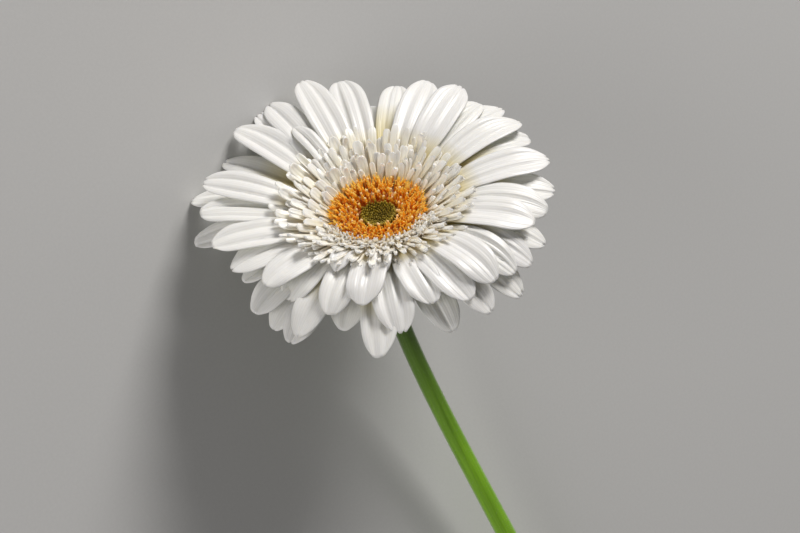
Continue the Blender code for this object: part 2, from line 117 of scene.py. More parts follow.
# Trans florets, each row as start radius, elevation in degrees, length, how many
TRANS_ROWS = [(12.95, 38.0, 9.2, 24), (13.1, 32.5, 13.0, 29), (13.3, 27.0, 17.0, 31)]
TRANS_TURNS = (-0.16, 0.16)
TRANS_TILTS = (-2.0, 5.0)
TRANS_LENGTHS = (0.9, 1.06)
TRANS_WIDTHS = (0.9, 1.05)
TRANS_START = -2.3
# They are broadest, longest and steepest at the photograph's upper left, flattest at its left
BROADEST_DIRECTION = math.radians(115.0 + WHORL_TURN)
TRANS_LIFTING = math.radians(4.0)
TRANS_LENGTHENING = 0.1
FLAT_DIRECTION = math.radians(185.0 + WHORL_TURN)
TRANS_FLATTENING = math.radians(8.0)
FLATTEST = math.radians(14.0)
BACK_BROADENING, FLAT_BROADENING = 0.26, 0.35
# Width at the foot as a share, how much narrower it is opposite the flat side, and how thick the ends swell
FOOT, FOOT_NARROWING, SWELLING = 0.72, 0.27, 0.6
# How far the ends roll in, in radians, and the share of florets that do
CURLS, CURL_CHANCES = [1.2, 0.6, 0.25, 0.0, -0.4], [0.12, 0.2, 0.28, 0.25, 0.15]
CURL_STARTS = (0.76, 0.84)
STRAP_END = 0.86
# Slimmer ones between them, and short ones that open like stars over the lower edge of the disc
SLIM_ROWS = [(12.9, 46.0, 6.5, 42), (13.1, 37.0, 10.0, 58), (13.3, 29.0, 13.5, 66), (13.4, 22.0, 16.0, 64),
             (13.5, 15.0, 13.0, 60)]
STAR_ROWS = [(13.2, 56.0, 2.8, 20), (13.5, 46.0, 3.9, 22), (13.7, 36.0, 5.4, 18)]
STAR_DIRECTION = math.radians(-88.0 + WHORL_TURN)
STAR_SPREAD = math.radians(66.0)
STAR_LOBES, FIRST_LOBE, OTHER_LOBES = 4, 2.2, 1.6

# Disc florets, each row as radius, how many, lean outwards in degrees, height
DISC_ROWS = [
    (6.6, 14, 2.0, 2.5), (7.7, 17, 4.0, 3.4), (8.8, 20, 10.0, 4.2),
    (9.8, 22, 19.0, 4.3), (10.8, 24, 31.0, 4.2), (11.6, 26, 43.0, 4.4),
]
DISC_TURNS = (-0.2, 0.2)
DISC_LEANS = (-5.0, 5.0)
DISC_HEIGHTS = (0.85, 1.1)
# The slimmer ones between two rows: how far out, how many more, and how much further they lean
BETWEEN_OUT, BETWEEN_MORE, BETWEEN_LEAN = 0.45, 14, 4
# The outermost ones, which lean far out and close the ring's edge
RIM_ROWS = [(11.8, 46, 47.0, 4.3), (12.2, 50, 56.0, 4.0)]
DISC_SUNK = 0.8
DISC_BED = (5.75, -2.9, 12.4, -1.6)
# A disc floret's width as shares along it: a tube, the anthers from station 2 on, and a point
SPIKE_PLACES, SPIKE_WIDTHS = [0, 0.3, 0.55, 0.68, 0.8, 0.92, 1], [0.5, 0.62, 0.95, 1.0, 0.8, 0.45, 0.12]
ANTHERS = 2
# Stigmas stand on most florets inside this radius and on a few outside it
STIGMA_RADIUS, STIGMA_CHANCES = 8.2, (0.95, 0.08)
STIGMA_SIZE = 0.42
PAPPUS_RADII, PAPPUS_LENGTHS = (11.9, 13.2), (2.2, 4.4)
# The dish of buds as rim radius, rim height, middle height; a bud's width as shares along it
BUD_DISH = (5.6, -1.9, -5.2)
BUD_PLACES, BUD_WIDTHS = [0.0, 0.35, 0.6, 0.8, 0.93, 1.0], [0.8, 1.0, 1.0, 0.82, 0.5, 0.12]
TUBE_SIDES = 6

# The receptacle's and the green cup's outlines as (radius, z). Each row of bracts: how many, where they
# start and end as shares of the cup's side, width, and turn as a share of a step.
RECEPTACLE = [(11.2, -8.2), (15.6, -5.2), (15.7, -3.2), (14.8, -2.0), (12.6, -2.0), (9.0, -2.5),
              (5.9, -3.1), (5.4, -3.2), (3.0, -5.2), (0.3, -6.2)]
CUP_SIDE = [(3.4, -25.9), (5.2, -24.0), (9.2, -20.4), (12.4, -15.6), (14.4, -10.6), (15.1, -6.9)]
CUP_TOP = [(14.6, -6.5), (11.5, -8.65), (0.3, -8.65)]
BRACT_ROWS = [(12, 0.08, 0.68, 3.4, 0.0), (12, 0.34, 1.05, 3.3, 0.5)]
BRACT_PROUD, BRACT_KEEL, BRACT_DROOP = 0.55, 0.3, 0.25
BRACT_THICKNESS = 0.5
KEEL_PLACE = 0.25

# The stem as in the solids: where it leaves the cup, its length, and how it bends down to the surface
STEM_TOP = -26.25
STEM_LENGTH = 276.0
STEM_BEND = 22.0
STEEPEST_END = math.radians(8.0)
HALVINGS = 40
STEM_RINGS, STEM_SIDES = 420, 84
RIDGES, FINE_RIDGES, FINE_RIDGE = 7, 28, 0.006
# The lens in the cut end: shares of the radius, each with how far it stands out of the cut in mm
CUT_LENS = [(1.0, -1.0), (1.0, 0.02), (0.9, 0.06), (0.7, 0.055), (0.45, 0.045), (0.2, 0.04), (0.02, 0.04)]
CUT_SIDES = 48

# The photograph: its size and the disc's middle in pixels, pixels to a millimetre there, the head's turn
# and the picture's roll in degrees, and the ratio of the orange ring's two diameters
PHOTO_SIZE = (800, 533)
DISC_PIXEL = (377.5, 209.0)
PHOTO_SCALE = 3.32
HEAD_TURN, PHOTO_ROLL, RING_RATIO = 39, 8, 0.647
LENS = 97.1
# Where the two lights stand from the disc: shares to the right, up and towards the camera, and metres
KEY_FROM, FILL_FROM = (0.4, 0.87, 0.18), (-0.7, -0.3, 0.65)
LIGHT_DISTANCE = 2.0
KEY_SIZE, FILL_SIZE = 0.8, 1.6
FLOOR_HALF, FLOOR_DEPTH = 3.0, 0.02


def linear(code):
    """An sRGB hex colour as linear red, green and blue."""
    parts = [int(code[i:i + 2], 16) / 255 for i in (1, 3, 5)]
    return tuple(c / 12.92 if c <= 0.04045 else ((c + 0.055) / 1.055) ** 2.4 for c in parts)


def number(name, value, description, **more):
    """A property that holds a plain number."""
    return FloatProperty(name=name, description=description, default=value, **more)


def length(name, size, description, least=0.0):
    """A property that holds a length, given in millimetres and kept in metres."""
    return number(name, size * MM, description, min=least * MM, unit="LENGTH")


def count_of(name, value, description):
    """A property that holds how many there are."""
    return IntProperty(name=name, description=description, default=value, min=10)


def colour(name, code, description):
    """A property that holds a colour, given as sRGB hex."""
    return FloatVectorProperty(
        name=name, description=description, default=linear(code), subtype="COLOR", size=3, min=0.0, max=1.0
    )


class HeadSettings(bpy.types.PropertyGroup):
    """How the head leans on the surface."""

    tilt: number("Tilt", math.radians(55.0), "Lean of the head's axis", subtype="ANGLE")
    height: length("Height", 44.5, "Height of the middle of the disc above the surface")
    x: length("X", 4.3, "Place of the disc across", -1000.0)
    y: length("Y", -129.0, "Place of the disc along the stem", -1000.0)


class RaySettings(bpy.types.PropertyGroup):
    """Sizes and colours of the large white petals."""

    claw: length("Claw width", 2.6, "Width of a petal where it starts")
    thickness: length("Thickness", 0.42, "Thickness of a petal along its middle")
    rib: length("Rib height", 1.4, "How far the ribs stand above the grooves")
    hollow: length("Hollow", 0.6, "How far the edges rise above the middle")
    curl: length("Tip curl", 1.8, "How far the tips bend down at most")
    notch: length("Notch", 0.9, "How deep the notches at the tip are at most")
    rounding: length("Rounding", 1.7, "How far the corners of the tip fall short")
    white: colour("White", "#F6F5F2", "Colour of the upper side")
    under: colour("Underside", "#E9EADB", "Colour of the under side")
    base: colour("Base", "#D6C25E", "Yellow-green at the foot of a petal")


class TransSettings(bpy.types.PropertyGroup):
    """Sizes and colours of the small white florets round the disc."""

    width: length("Width", 2.4, "Width of the broad florets")
    thickness: length("Thickness", 0.5, "Thickness of a floret's strap")
    slim: length("Slim width", 1.55, "Width of the slim florets")
    tip: colour("Tip", "#FFFDF6", "Colour at the rounded ends")
    body: colour("Body", "#FFF8EB", "Colour along the floret")
    # Base: the florets' cream feet, partly their own colour, partly painted warm shade deep between them
    base: colour("Base", "#FAE0AC", "Colour deep between the florets")


class DiscSettings(bpy.types.PropertyGroup):
    """Sizes, colours and hairs of the orange ring."""

    width: length("Width", 0.88, "Width of a floret")
    orange: colour("Orange", "#FFAD14", "Colour along the floret")
    # Tip: partly the florets' own yellow tips, partly a painted highlight
    tip: colour("Tip", "#FFCF58", "Colour of the tip")
    root: colour("Root", "#EC8614", "Shaded colour between the florets")
    style: colour("Style", "#FFD080", "Cream stigmas")
    hair: colour("Hair", "#C9A36B", "Tan hairs between the orange ring and the white florets")
    hairs: count_of("Hairs", 900, "How many tan hairs")


class BudSettings(bpy.types.PropertyGroup):
    """Sizes and colours of the unopened florets in the middle."""

    count: count_of("Count", 230, "How many buds")
    width: length("Width", 0.78, "Width of a bud")
    # Painted shade at the foot of each bud, deep between the buds
    shade_between_buds: colour("Dark", "#50400C", "Colour between the buds")
    olive: colour("Olive", "#C2AA34", "Colour of their tops")


class CupSettings(bpy.types.PropertyGroup):
    """Colours and hairs of the green cup."""

    green: colour("Green", "#4E6B22", "Colour of the bracts")
    edge: colour("Edge", "#8FA35C", "Pale edge of a bract")
    tip: colour("Tip", "#5A3A24", "Brown tip of a bract")
    hairs: count_of("Hairs", 5200, "How many cottony hairs")


class StemSettings(bpy.types.PropertyGroup):
    """Sizes, colours and hairs of the stem."""

    top_radius: length("Top radius", 2.75, "Radius where it leaves the cup")
    end_radius: length("End radius", 3.15, "Radius from half its length on")
    ridge: number("Ridge", 0.018, "Height of the ridges as a share of the radius")
    # Top colour: the stem's green darkened near the head, painted shadow of the head
    high: colour("Top colour", "#40502C", "Green near the head")
    low: colour("Low colour", "#8CC420", "Yellow-green along the rest")
    hair: colour("Hair", "#D5DBC6", "Fine pale hairs")
    hairs: count_of("Hairs", 9000, "How many fine hairs")


class StageSettings(bpy.types.PropertyGroup):
    """Floor, light and camera."""

    floor: colour("Floor", "#C9C9C9", "Plain pale floor")
    key: number("Key", 39.0, "Strength of the main light in watts", min=0.0)
    fill: number("Fill", 22.0, "Strength of the second light in watts", min=0.0)
    ambient: number("Ambient", 0.16, "Strength of the light all round", min=0.0)
    distance: length("Distance", 650.0, "From the camera to the disc")


def add(tree, kind, inputs=(), stops=(), **settings):
    """Adds a node with its settings. Inputs are values, or sockets to link; stops are a ramp's colours."""
    node = tree.nodes.new(kind)
    for name, value in settings.items():
        setattr(node, name, value)
    for key, value in dict(inputs).items():
        if isinstance(value, bpy.types.NodeSocket):
            tree.links.new(value, node.inputs[key])
        else:
            node.inputs[key].default_value = value
    for place, (where, shade) in enumerate(stops):
        ends = node.color_ramp.elements
        element = ends[place] if place < 2 else ends.new(where)
        element.position = where
        element.color = (*shade, 1.0)
    return node


def material(name, roughness, **values):
    """A material with a Principled shader whose constant values are set on its own sockets."""
    made = bpy.data.materials.new(name)
    made.use_nodes = True
    shader = made.node_tree.nodes["Principled BSDF"]
    shader.inputs["Roughness"].default_value = roughness
    shader.inputs["Subsurface Radius"].default_value = (1.0, 0.95, 0.85)
    for socket, value in values.items():
        shader.inputs[socket.replace("_", " ")].default_value = value
    return made, made.node_tree, shader


def uv_parts(tree):
    """The UV map, and its parts across and along a body."""
    uv = add(tree, "ShaderNodeUVMap", uv_map="UVMap").outputs[0]
    split = add(tree, "ShaderNodeSeparateXYZ", {0: uv})
    return uv, split.outputs["X"], split.outputs["Y"]


def tone_of(tree):
    """The number that differs from one body to the next."""
    return add(tree, "ShaderNodeAttribute", attribute_name="tone").outputs["Fac"]


def ramp(tree, value, stops):
    """The colour of a ramp at a value."""
    return add(tree, "ShaderNodeValToRGB", {0: value}, stops).outputs[0]


def mix(tree, share, first, second, blend="MIX"):
    """Two colours mixed by a share, each a socket or red, green and blue."""
    first, second = (c if isinstance(c, bpy.types.NodeSocket) else (*c, 1.0) for c in (first, second))
    mixed = add(tree, "ShaderNodeMix", {0: share, 6: first, 7: second}, data_type="RGBA", blend_type=blend)
    return mixed.outputs[2]


def reckon(tree, operation, *values):
    """The result of a sum on numbers or sockets."""
    return add(tree, "ShaderNodeMath", dict(enumerate(values)), operation=operation).outputs[0]


def noise(tree, scale, detail, place=None, stretch=None):
    """Soft noise, at the object's own coordinates or at a place stretched along its axes."""
    if place is None:
        place = add(tree, "ShaderNodeTexCoord").outputs["Object"]
    else:
        place = add(tree, "ShaderNodeMapping", {0: place, 3: stretch}).outputs[0]
    return add(tree, "ShaderNodeTexNoise", {0: place, "Scale": scale, "Detail": detail}).outputs[0]


def cover(tree, shader, shade, relief=None, strength=1.0, depth=0.0):
    """Links a colour to the shader, and a relief with its depth in mm where there is one."""
    tree.links.new(shade, shader.inputs["Base Color"])
    if relief is not None:
        bump = add(tree, "ShaderNodeBump", {"Strength": strength, "Distance": depth * MM, "Height": relief})
        tree.links.new(bump.outputs[0], shader.inputs["Normal"])


def blend_shades(first, second, share):
    """A colour between two, at a share of the way."""
    return tuple(a + (b - a) * share for a, b in zip(first, second))


def context_colour(group, name):
    """A colour from one of the scene's groups of settings."""
    return tuple(getattr(getattr(bpy.context.scene, f"gerbera_{group}"), name))


def smooth(x):
    """0 below 0, 1 above 1, and an even S curve between."""
    x = np.clip(x, 0, 1)
    return x * x * (3 - 2 * x)


def unit(vectors):
    """Vectors brought to length 1."""
    return vectors / np.linalg.norm(vectors, axis=-1, keepdims=True)


def steps_round(count, moved=0.0):
    """Directions in even steps all the way round, each moved by shares of a step."""
    return math.tau * (np.arange(count) + moved) / count


def radial(direction, out, side, up):
    """Points from distances outward, sideways and up, at directions round the head's axis."""
    c, s = np.cos(direction), np.sin(direction)
    return np.stack(np.broadcast_arrays(out * c - side * s, out * s + side * c, up), axis=-1)


def in_place(points):
    """Points of the head's frame, in mm, turned about X by the tilt and moved to the head's place."""
    head = bpy.context.scene.gerbera_head
    c, s = math.cos(head.tilt), math.sin(head.tilt)
    x, y, z = points[..., 0], points[..., 1], points[..., 2]
    turned = np.stack([x, y * c - z * s, y * s + z * c], axis=-1)
    return turned + np.array([head.x, head.y, head.height]) / MM


def smooth_line(corners, steps):
    """Points on a Catmull-Rom curve through the corners, with a number of steps from each to the next."""
    corners = np.array(corners, float)
    padded = np.concatenate([[2 * corners[0] - corners[1]], corners, [2 * corners[-1] - corners[-2]]])
    t = (np.arange(steps) / steps)[None, :, None]
    a, b, c, d = (padded[i:len(padded) - 3 + i, None] for i in range(4))
    square, cube = (2 * a - 5 * b + 4 * c - d) * t**2, (3 * b - a - 3 * c + d) * t**3
    curve = 0.5 * (2 * b + (c - a) * t + square + cube)
    return np.concatenate([curve.reshape(-1, corners.shape[1]), corners[-1:]])


def bent_paths(start, aim, up, long, t, turn):
    """Paths that bend in the plane of aim and up: between stations t, each steps along its own turn to up.

    Gives the points, the upward normals there, and the sideways unit vector of each path.
    """
    side = np.cross(up, aim)[:, None]
    aim, up = aim[:, None], up[:, None]
    middle = 0.5 * (turn[:, 1:] + turn[:, :-1])[..., None]
    steps = (np.cos(middle) * aim + np.sin(middle) * up) * (long[:, None] * np.diff(t))[..., None]
    moved = np.concatenate([np.zeros_like(steps[:, :1]), np.cumsum(steps, axis=1)], axis=1)
    turn = turn[..., None]
    return start[:, None] + moved, np.cos(turn) * up - np.sin(turn) * aim, side


def straight_paths(start, aim, up, long, t):
    """Paths that run straight along aim."""
    return bent_paths(start, aim, up, long, t, np.zeros((len(start), len(t))))


def blades(top, thickness):
    """Rings round thin bodies: rows of upper points from left to right, then the same points moved down.

    Down is against the cross product of the surface's own slopes.
    """
    along = np.gradient(top, axis=-3)
    across = np.gradient(top, axis=-2)
    normal = unit(np.cross(across, along))
    under = top - thickness[..., None] * normal
    return np.concatenate([top, under[..., ::-1, :]], axis=-2)


def leaflets(paths, half, lift, roll, thickness, u):
    """Thin blades along paths: at u across, a point lies u times the half width sideways and lift above.

    Both are turned about the path by roll.
    """
    points, normal, side = paths
    wide = u * half[..., None]
    c, s = np.cos(roll)[..., None], np.sin(roll)[..., None]
    across, above = wide * c - lift * s, wide * s + lift * c
    top = points[:, :, None] + across[..., None] * side[:, :, None] + above[..., None] * normal[:, :, None]
    return blades(top, thickness)


def tubes(paths, radius, sides=TUBE_SIDES):
    """Round bodies along paths, as rings of points at each station's radius."""
    points, normal, side = paths
    turn = steps_round(sides)
    c, s = np.cos(turn)[:, None], np.sin(turn)[:, None]
    ring = c * side[:, :, None] + s * normal[:, :, None]
    return points[:, :, None] + radius[..., None, None] * ring


def turned(outline, sides, wave=0.0):
    """An outline of (radius, z) carried round the axis, its radius waved by a share of itself."""
    turn = steps_round(sides)
    radius = outline[:, :1] * (1 + wave * np.cos(sides / 4 * turn))
    return radial(turn, radius, 0 * radius, outline[:, 1:])[None]


def pointed_lobes(base, aim, up, turn, spread, size, t, bend, half, fold, thickness):
    """One pointed lobe on each floret, which leaves at a turn round its aim, spread from it, and bends.

    At u across it lies fold times u squared above its middle.
    """
    out = np.cos(turn)[:, None] * up + np.sin(turn)[:, None] * np.cross(up, aim)
    heading = np.cos(spread) * aim + np.sin(spread) * out
    over = np.sin(spread) * aim - np.cos(spread) * out
    u = np.linspace(1, -1, 3)[None, None]
    flat = 0 * half[..., None]
    paths = bent_paths(base, heading, over, size, t, bend)
    return leaflets(paths, half, fold * u**2 + flat, 0 * half, thickness + flat, u)


def ring_faces(count, rows, ring):
    """Quads of count closed bodies, each of rows rings: round the sides, and in a strip over each end."""
    i, j = np.meshgrid(np.arange(rows - 1), np.arange(ring), indexing="ij")
    k = (j + 1) % ring
    sides = np.stack([i * ring + j, i * ring + k, (i + 1) * ring + k, (i + 1) * ring + j], axis=-1)
    a = np.arange(ring // 2 - 1)
    first = np.stack([a + 1, a, ring - 1 - a, ring - 2 - a], axis=-1)
    last = (rows - 1) * ring + first[:, ::-1]
    one = np.concatenate([sides.reshape(-1, 4), first, last])
    return (np.arange(count)[:, None, None] * rows * ring + one).reshape(-1, 4)


def mesh_piece(name, points, faces, skin, node, uv=None, tone=None):
    """A piece from points in mm and faces of equal size, with its UV map and a tone for each point."""
    mesh = bpy.data.meshes.new(name)
    mesh.vertices.add(len(points))
    mesh.vertices.foreach_set("co", (points * MM).astype(np.float32).ravel())
    mesh.loops.add(faces.size)
    mesh.loops.foreach_set("vertex_index", faces.astype(np.int32).ravel())
    mesh.polygons.add(len(faces))
    mesh.polygons.foreach_set("loop_start", np.arange(0, faces.size, faces.shape[1], dtype=np.int32))
    if uv is not None:
        layer = mesh.uv_layers.new(name="UVMap")
        layer.uv.foreach_set("vector", uv[faces.ravel()].astype(np.float32).ravel())
    if tone is not None:
        mesh.attributes.new("tone", "FLOAT", "POINT").data.foreach_set("value", tone.astype(np.float32))
    mesh.update(calc_edges=True)
    if mesh.validate():
        raise RuntimeError(f"{name} had faces that were not valid")
    mesh.shade_smooth()
    mesh.materials.append(skin)
    piece = bpy.data.objects.new(name, mesh)
    bpy.context.scene.collection.objects.link(piece)
    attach(piece, "root")
    if node:
        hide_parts(node)


def ringed_piece(name, rings, skin, slot, node, tone=None, u=None):
    """A piece of closed bodies given as (body, ring, point, 3). Its UV map runs round and along each."""
    count, rows, ring = rings.shape[:3]
    u = np.arange(ring) / ring if u is None else u
    v, u = np.meshgrid(np.linspace(0, 1, rows), u, indexing="ij")
    uv = np.broadcast_to(np.stack([u, v], axis=-1), (count, rows, ring, 2)).reshape(-1, 2)
    tone = np.zeros(count) if tone is None else tone
    tones = np.broadcast_to(tone[:, None, None], (count, rows, ring)).ravel()
    faces = ring_faces(count, rows, ring)
    mesh_piece(name, rings.reshape(-1, 3), faces, skin, node, uv, tones)


def hair_piece(name, start, tip, thick, skin):
    """Hairs as slim four-faced spikes, from a three-cornered foot at start to a point at tip."""
    aim = unit(tip - start)
    side = unit(np.cross(aim, RIGHT + 0.01 * UP))
    over = np.cross(aim, side)
    turn = steps_round(3)
    c, s = np.cos(turn)[:, None], np.sin(turn)[:, None]
    foot = start[:, None] + thick * (c * side[:, None] + s * over[:, None])
    points = np.concatenate([foot, tip[:, None]], axis=1)
    one = np.array([(0, 2, 1), (0, 1, 3), (1, 2, 3), (2, 0, 3)])
    faces = (4 * np.arange(len(start))[:, None, None] + one).reshape(-1, 3)
    mesh_piece(name, points.reshape(-1, 3), faces, skin, None)


def petal_skin(name, yellow):
    """White petal: thin living tissue full of air, so satin, bright, and glowing where light comes through.

    The foot is yellow-green up to a share of the length, the under side is greener, and fine veins run
    along it about 0.9 mm apart.
    """
    rays = bpy.context.scene.gerbera_rays
    made, tree, shader = material(name, 0.34, Subsurface_Weight=0.4, Subsurface_Scale=0.5 * MM)
    uv, across, along = uv_parts(tree)
    base, white = tuple(rays.base), tuple(rays.white)
    upper = ramp(tree, along, [(0.0, base), (0.4 * yellow, blend_shades(base, white, 0.12)),
                               (0.72 * yellow, blend_shades(base, white, 0.6)), (yellow, white)])
    sided = mix(tree, reckon(tree, "GREATER_THAN", across, 0.5), upper, rays.under)
    shade = mix(tree, 1.0, sided, mix(tree, tone_of(tree), WHITE, (0.93, 0.93, 0.95)), "MULTIPLY")
    lengthwise = add(tree, "ShaderNodeMapping", {0: uv, 3: (1.0, 0.05, 1.0)}).outputs[0]
    waves = {0: lengthwise, "Scale": 9.0, "Distortion": 2.5, "Detail": 1.0, "Detail Scale": 2.0}
    veins = add(tree, "ShaderNodeTexWave", waves).outputs["Fac"]
    lines = ramp(tree, veins, [(0.0, (0.95, 0.95, 0.94)), (0.4, WHITE)])
    cover(tree, shader, mix(tree, 1.0, shade, lines, "MULTIPLY"), veins, 0.26, 0.12)
    return made


def floret_skin(name, roughness, stops, spread, glow, depth=0.8):
    """A waxy floret: its colour runs along it, and by its tone differs a little from one to the next."""
    made, tree, shader = material(name, roughness, Subsurface_Weight=glow, Subsurface_Scale=depth * MM)
    uv, _, along = uv_parts(tree)
    shade = ramp(tree, reckon(tree, "MULTIPLY_ADD", tone_of(tree), spread, along), stops)
    cover(tree, shader, shade, noise(tree, 3.0, 2.0, uv, (8.0, 1.5, 1.0)), 0.3, 0.08)
    return made


def receptacle_skin():
    """Receptacle: moist tissue seen between florets: green below, a cream rim and a bed of orange-brown
    painted shade.
    """
    # The bed takes the disc florets' shaded root colour, as painted shade between them
    bed = context_colour("disc", "root")
    made, tree, shader = material("receptacle tissue", 0.6)
    _, _, along = uv_parts(tree)
    # The brown is a painted shadow colour for the deep middle under the buds
    green, cream, brown = linear("#98A65C"), linear("#F3E6BC"), linear("#3A2A08")
    shade = ramp(tree, along, [(0.0, green), (0.25, green), (0.33, cream), (0.5, cream), (0.57, bed),
                               (0.75, brown)])
    cover(tree, shader, shade, noise(tree, 1 / (1.2 * MM), 2.0), 0.4, 0.2)
    return made


def hair_skin(name, shade):
    """Plant hair: dry, pale and thin enough to catch light as a soft rim."""
    made, tree, shader = material(name, 0.65)
    stops = [(0.3, blend_shades(shade, BLACK, 0.25)), (0.7, shade)]
    cover(tree, shader, ramp(tree, noise(tree, 1 / (6 * MM), 1.0), stops))
    return made


def ray_set(whorl, draw, own):
    """The ray florets of a whorl as arrays: the solids' seeded draws, and more for the fine form."""
    _, table, root, mean, swing, width, rise, _ = whorl
    direction, reach, lift = (np.array(column, float) for column in zip(*table))
    drawn = [(draw.uniform(*RAY_WIDTHS), draw.uniform(*RAY_ROLLS), draw.uniform(*RAY_BOWS)) for _ in table]
    widths, rolls, bows = (np.array(column) for column in zip(*drawn))
    count = len(table)
    back = np.cos(np.radians(direction - HIGHEST_DIRECTION))
    right = np.cos(np.radians(direction))
    return {
        "root": root, "rise": rise * (1 + RISE_SWING * right),
        "direction": np.radians(direction + WHORL_TURN), "reach": reach,
        "height": mean + swing * back + lift, "bow": bows,
        "width": width * widths * (1 - BACK_SLIMMING * np.clip(back, 0, 1)),
        "roll": np.radians(rolls + ROLL_SWING * right),
        "three": own.uniform(0, 1, count) < 0.5 + 0.35 * back, "curl": own.uniform(0.1, 1, count) ** 1.3,
        "notch": own.uniform(0, 1, count) ** 1.5, "split": own.uniform(-0.12, 0.12, count),
        "wave": own.uniform(0, 2 * math.pi, count), "drop": own.uniform(0.5, 1.5, count),
        "slope": own.uniform(-0.35, 0.35, count), "tone": own.uniform(0, 1, count),
        "flat": np.clip(right, 0, 1),
    }


def ray_outline(t, width, claw):
    """Half the width of a ray floret, t along it: a narrow claw, then broad, then a blunt round tip."""
    claw = claw / width
    swell = np.sin(0.5 * math.pi * np.clip(t / SWELL_END, 0, 1)) ** SWELL_POWER
    rounding = np.clip((t - TIP_START) / (1 - TIP_START), 0, 1) ** TIP_POWER
    return 0.5 * width * (claw + (1 - claw) * swell) * np.sqrt(1 - TIP_TAPER * rounding)


def ray_tops(rays, height, t, u):
    """Upper points of ray florets, at t along and u across.

    The centre line is a quadratic Bezier curve from root to tip with its middle raised, and its end bends
    down. Two or three ribs lie across it between sharp grooves, as powers of sine and cosine, with fine
    lines on them, and the edges rise. The corners of the tip fall short by a circle's rule, and notches
    are cut at the grooves. Two waves run along it.
    """
    look = bpy.context.scene.gerbera_rays
    one = {key: np.asarray(value)[:, None, None] for key, value in rays.items() if key != "root"}
    root_r, root_z = rays["root"]
    reach, tip_z = one["reach"], height[:, None, None]
    middle_r, middle_z = 0.5 * (root_r + reach), 0.5 * (root_z + tip_z) + one["rise"]
    far = np.hypot(reach - root_r, tip_z - root_z)
    corner = look.rounding / MM * (1 - np.sqrt(1 - CORNER * u**2))
    at = np.where(one["three"], np.abs(np.abs(u) - 1 / 3), np.abs(u - one["split"]))
    cut = look.notch / MM * one["notch"] * np.clip(1 - at / NOTCH_REACH, 0, 1) ** 1.5
    s = t * (1 - (corner + cut + one["slope"] * u) / far * t**5)
    line_r = (1 - s) ** 2 * root_r + 2 * s * (1 - s) * middle_r + s**2 * reach
    line_z = (1 - s) ** 2 * root_z + 2 * s * (1 - s) * middle_z + s**2 * tip_z
    line_z = line_z - look.curl / MM * one["curl"] * np.clip((t - CURL_START) / (1 - CURL_START), 0, 1) ** 2
    slope_r = (1 - s) * (middle_r - root_r) + s * (reach - middle_r)
    slope_z = (1 - s) * (middle_z - root_z) + s * (tip_z - middle_z)
    size = np.hypot(slope_r, slope_z)
    slope_r, slope_z = slope_r / size, slope_z / size
    half = ray_outline(t, one["width"], look.claw / MM)
    full = 2 * half / one["width"]
    two = np.abs(np.sin(TWO_RIBS * (u - one["split"] * (1 - u**2)))) ** RIB_POWER
    three = np.abs(np.cos(THREE_RIBS * u)) ** RIB_POWER
    fine = FINE_LINES * one["drop"] * np.cos(5 * math.pi * u + one["wave"]) * (1 - u**2)
    ribs = look.rib / MM * (1 - 0.5 * one["flat"]) * np.where(one["three"], 0.8 * three, two)
    ribs = (ribs + (1 + one["flat"]) * fine) * full**1.5 * (1 - 0.3 * smooth((t - 0.8) / 0.2))
    arch = look.hollow / MM * one["drop"] * (u**2 - 0.5 * u**8) * full**2
    slow = SLOW_WAVE[0] * np.sin(SLOW_WAVE[1] * t + one["wave"] + 1.5 * u) * t
    quick = QUICK_WAVE[0] * np.sin(QUICK_WAVE[1] * t + 2 * one["wave"]) * u * t
    roll = one["roll"] * t
    above = ribs + arch + slow + quick
    across = u * half * np.cos(roll) - above * np.sin(roll) + 4 * one["bow"] * t * (1 - t)
    lift = u * half * np.sin(roll) + above * np.cos(roll)
    return radial(one["direction"], line_r - slope_z * lift, across, line_z + slope_r * lift)


def ray_blades(rays):
    """Ray florets as thin closed bodies, each tip raised until nothing of it lies below the surface."""
    look, head = bpy.context.scene.gerbera_rays, bpy.context.scene.gerbera_head
    t = np.linspace(0, 1, RAY_ROWS)[:, None] ** 0.9
    u = np.linspace(1, -1, RAY_COLUMNS)[None]
    thickness = look.thickness / MM * (1 - EDGE_THINNING * u**4) * (1 - TIP_THINNING * t**3)
    height = rays["height"].copy()
    for _ in range(LIFTING_STEPS):
        rings = in_place(blades(ray_tops(rays, height, t, u), thickness))
        sunk = np.minimum(rings[..., 2].min(axis=(1, 2)), 0.0)
        height -= sunk / math.cos(head.tilt)
    return rings


class GERBERA_OT_receptacle(bpy.types.Operator):
    """Makes the receptacle, the domed bed that all the florets stand on."""

    bl_idname = "gerbera.receptacle"
    bl_label = "Receptacle"

    def execute(self, context):
        rings = in_place(turned(smooth_line(RECEPTACLE, 4), 72))
        ringed_piece("receptacle", rings, receptacle_skin(), "bracts", None)
        return {"FINISHED"}


class GERBERA_OT_rays(bpy.types.Operator):
    """Makes the large white petals, one piece for each whorl.

    The UV map has u below 0.5 on the upper side and above it on the under side.
    """

    bl_idname = "gerbera.rays"
    bl_label = "Ray florets"

    def execute(self, context):
        draw, own = random.Random(SEED), np.random.default_rng(SEED)
        across = np.linspace(0, UPPER_SIDE, RAY_COLUMNS)
        u = np.concatenate([across, 1 - UPPER_SIDE + across])
        for whorl in WHORLS:
            rays = ray_set(whorl, draw, own)
            skin = petal_skin(f"white petal of {whorl[0]}", whorl[-1])
            ringed_piece(whorl[0], ray_blades(rays), skin, "petals", "ray_florets", rays["tone"], u)
        return {"FINISHED"}


def trans_draws():
    """The solids' trans florets: direction, start radius, elevation, length and width of each."""
    draw = random.Random(SEED + 1)
    rows = []
    for row, (start, elevation, long, count) in enumerate(TRANS_ROWS):
        for i in range(count):
            direction = 2 * math.pi * (i + row / len(TRANS_ROWS) + draw.uniform(*TRANS_TURNS)) / count
            tilt = math.radians(elevation + draw.uniform(*TRANS_TILTS))
            size = long * draw.uniform(*TRANS_LENGTHS)
            rows.append((direction, start, tilt, size, draw.uniform(*TRANS_WIDTHS)))
    return np.array(rows).T


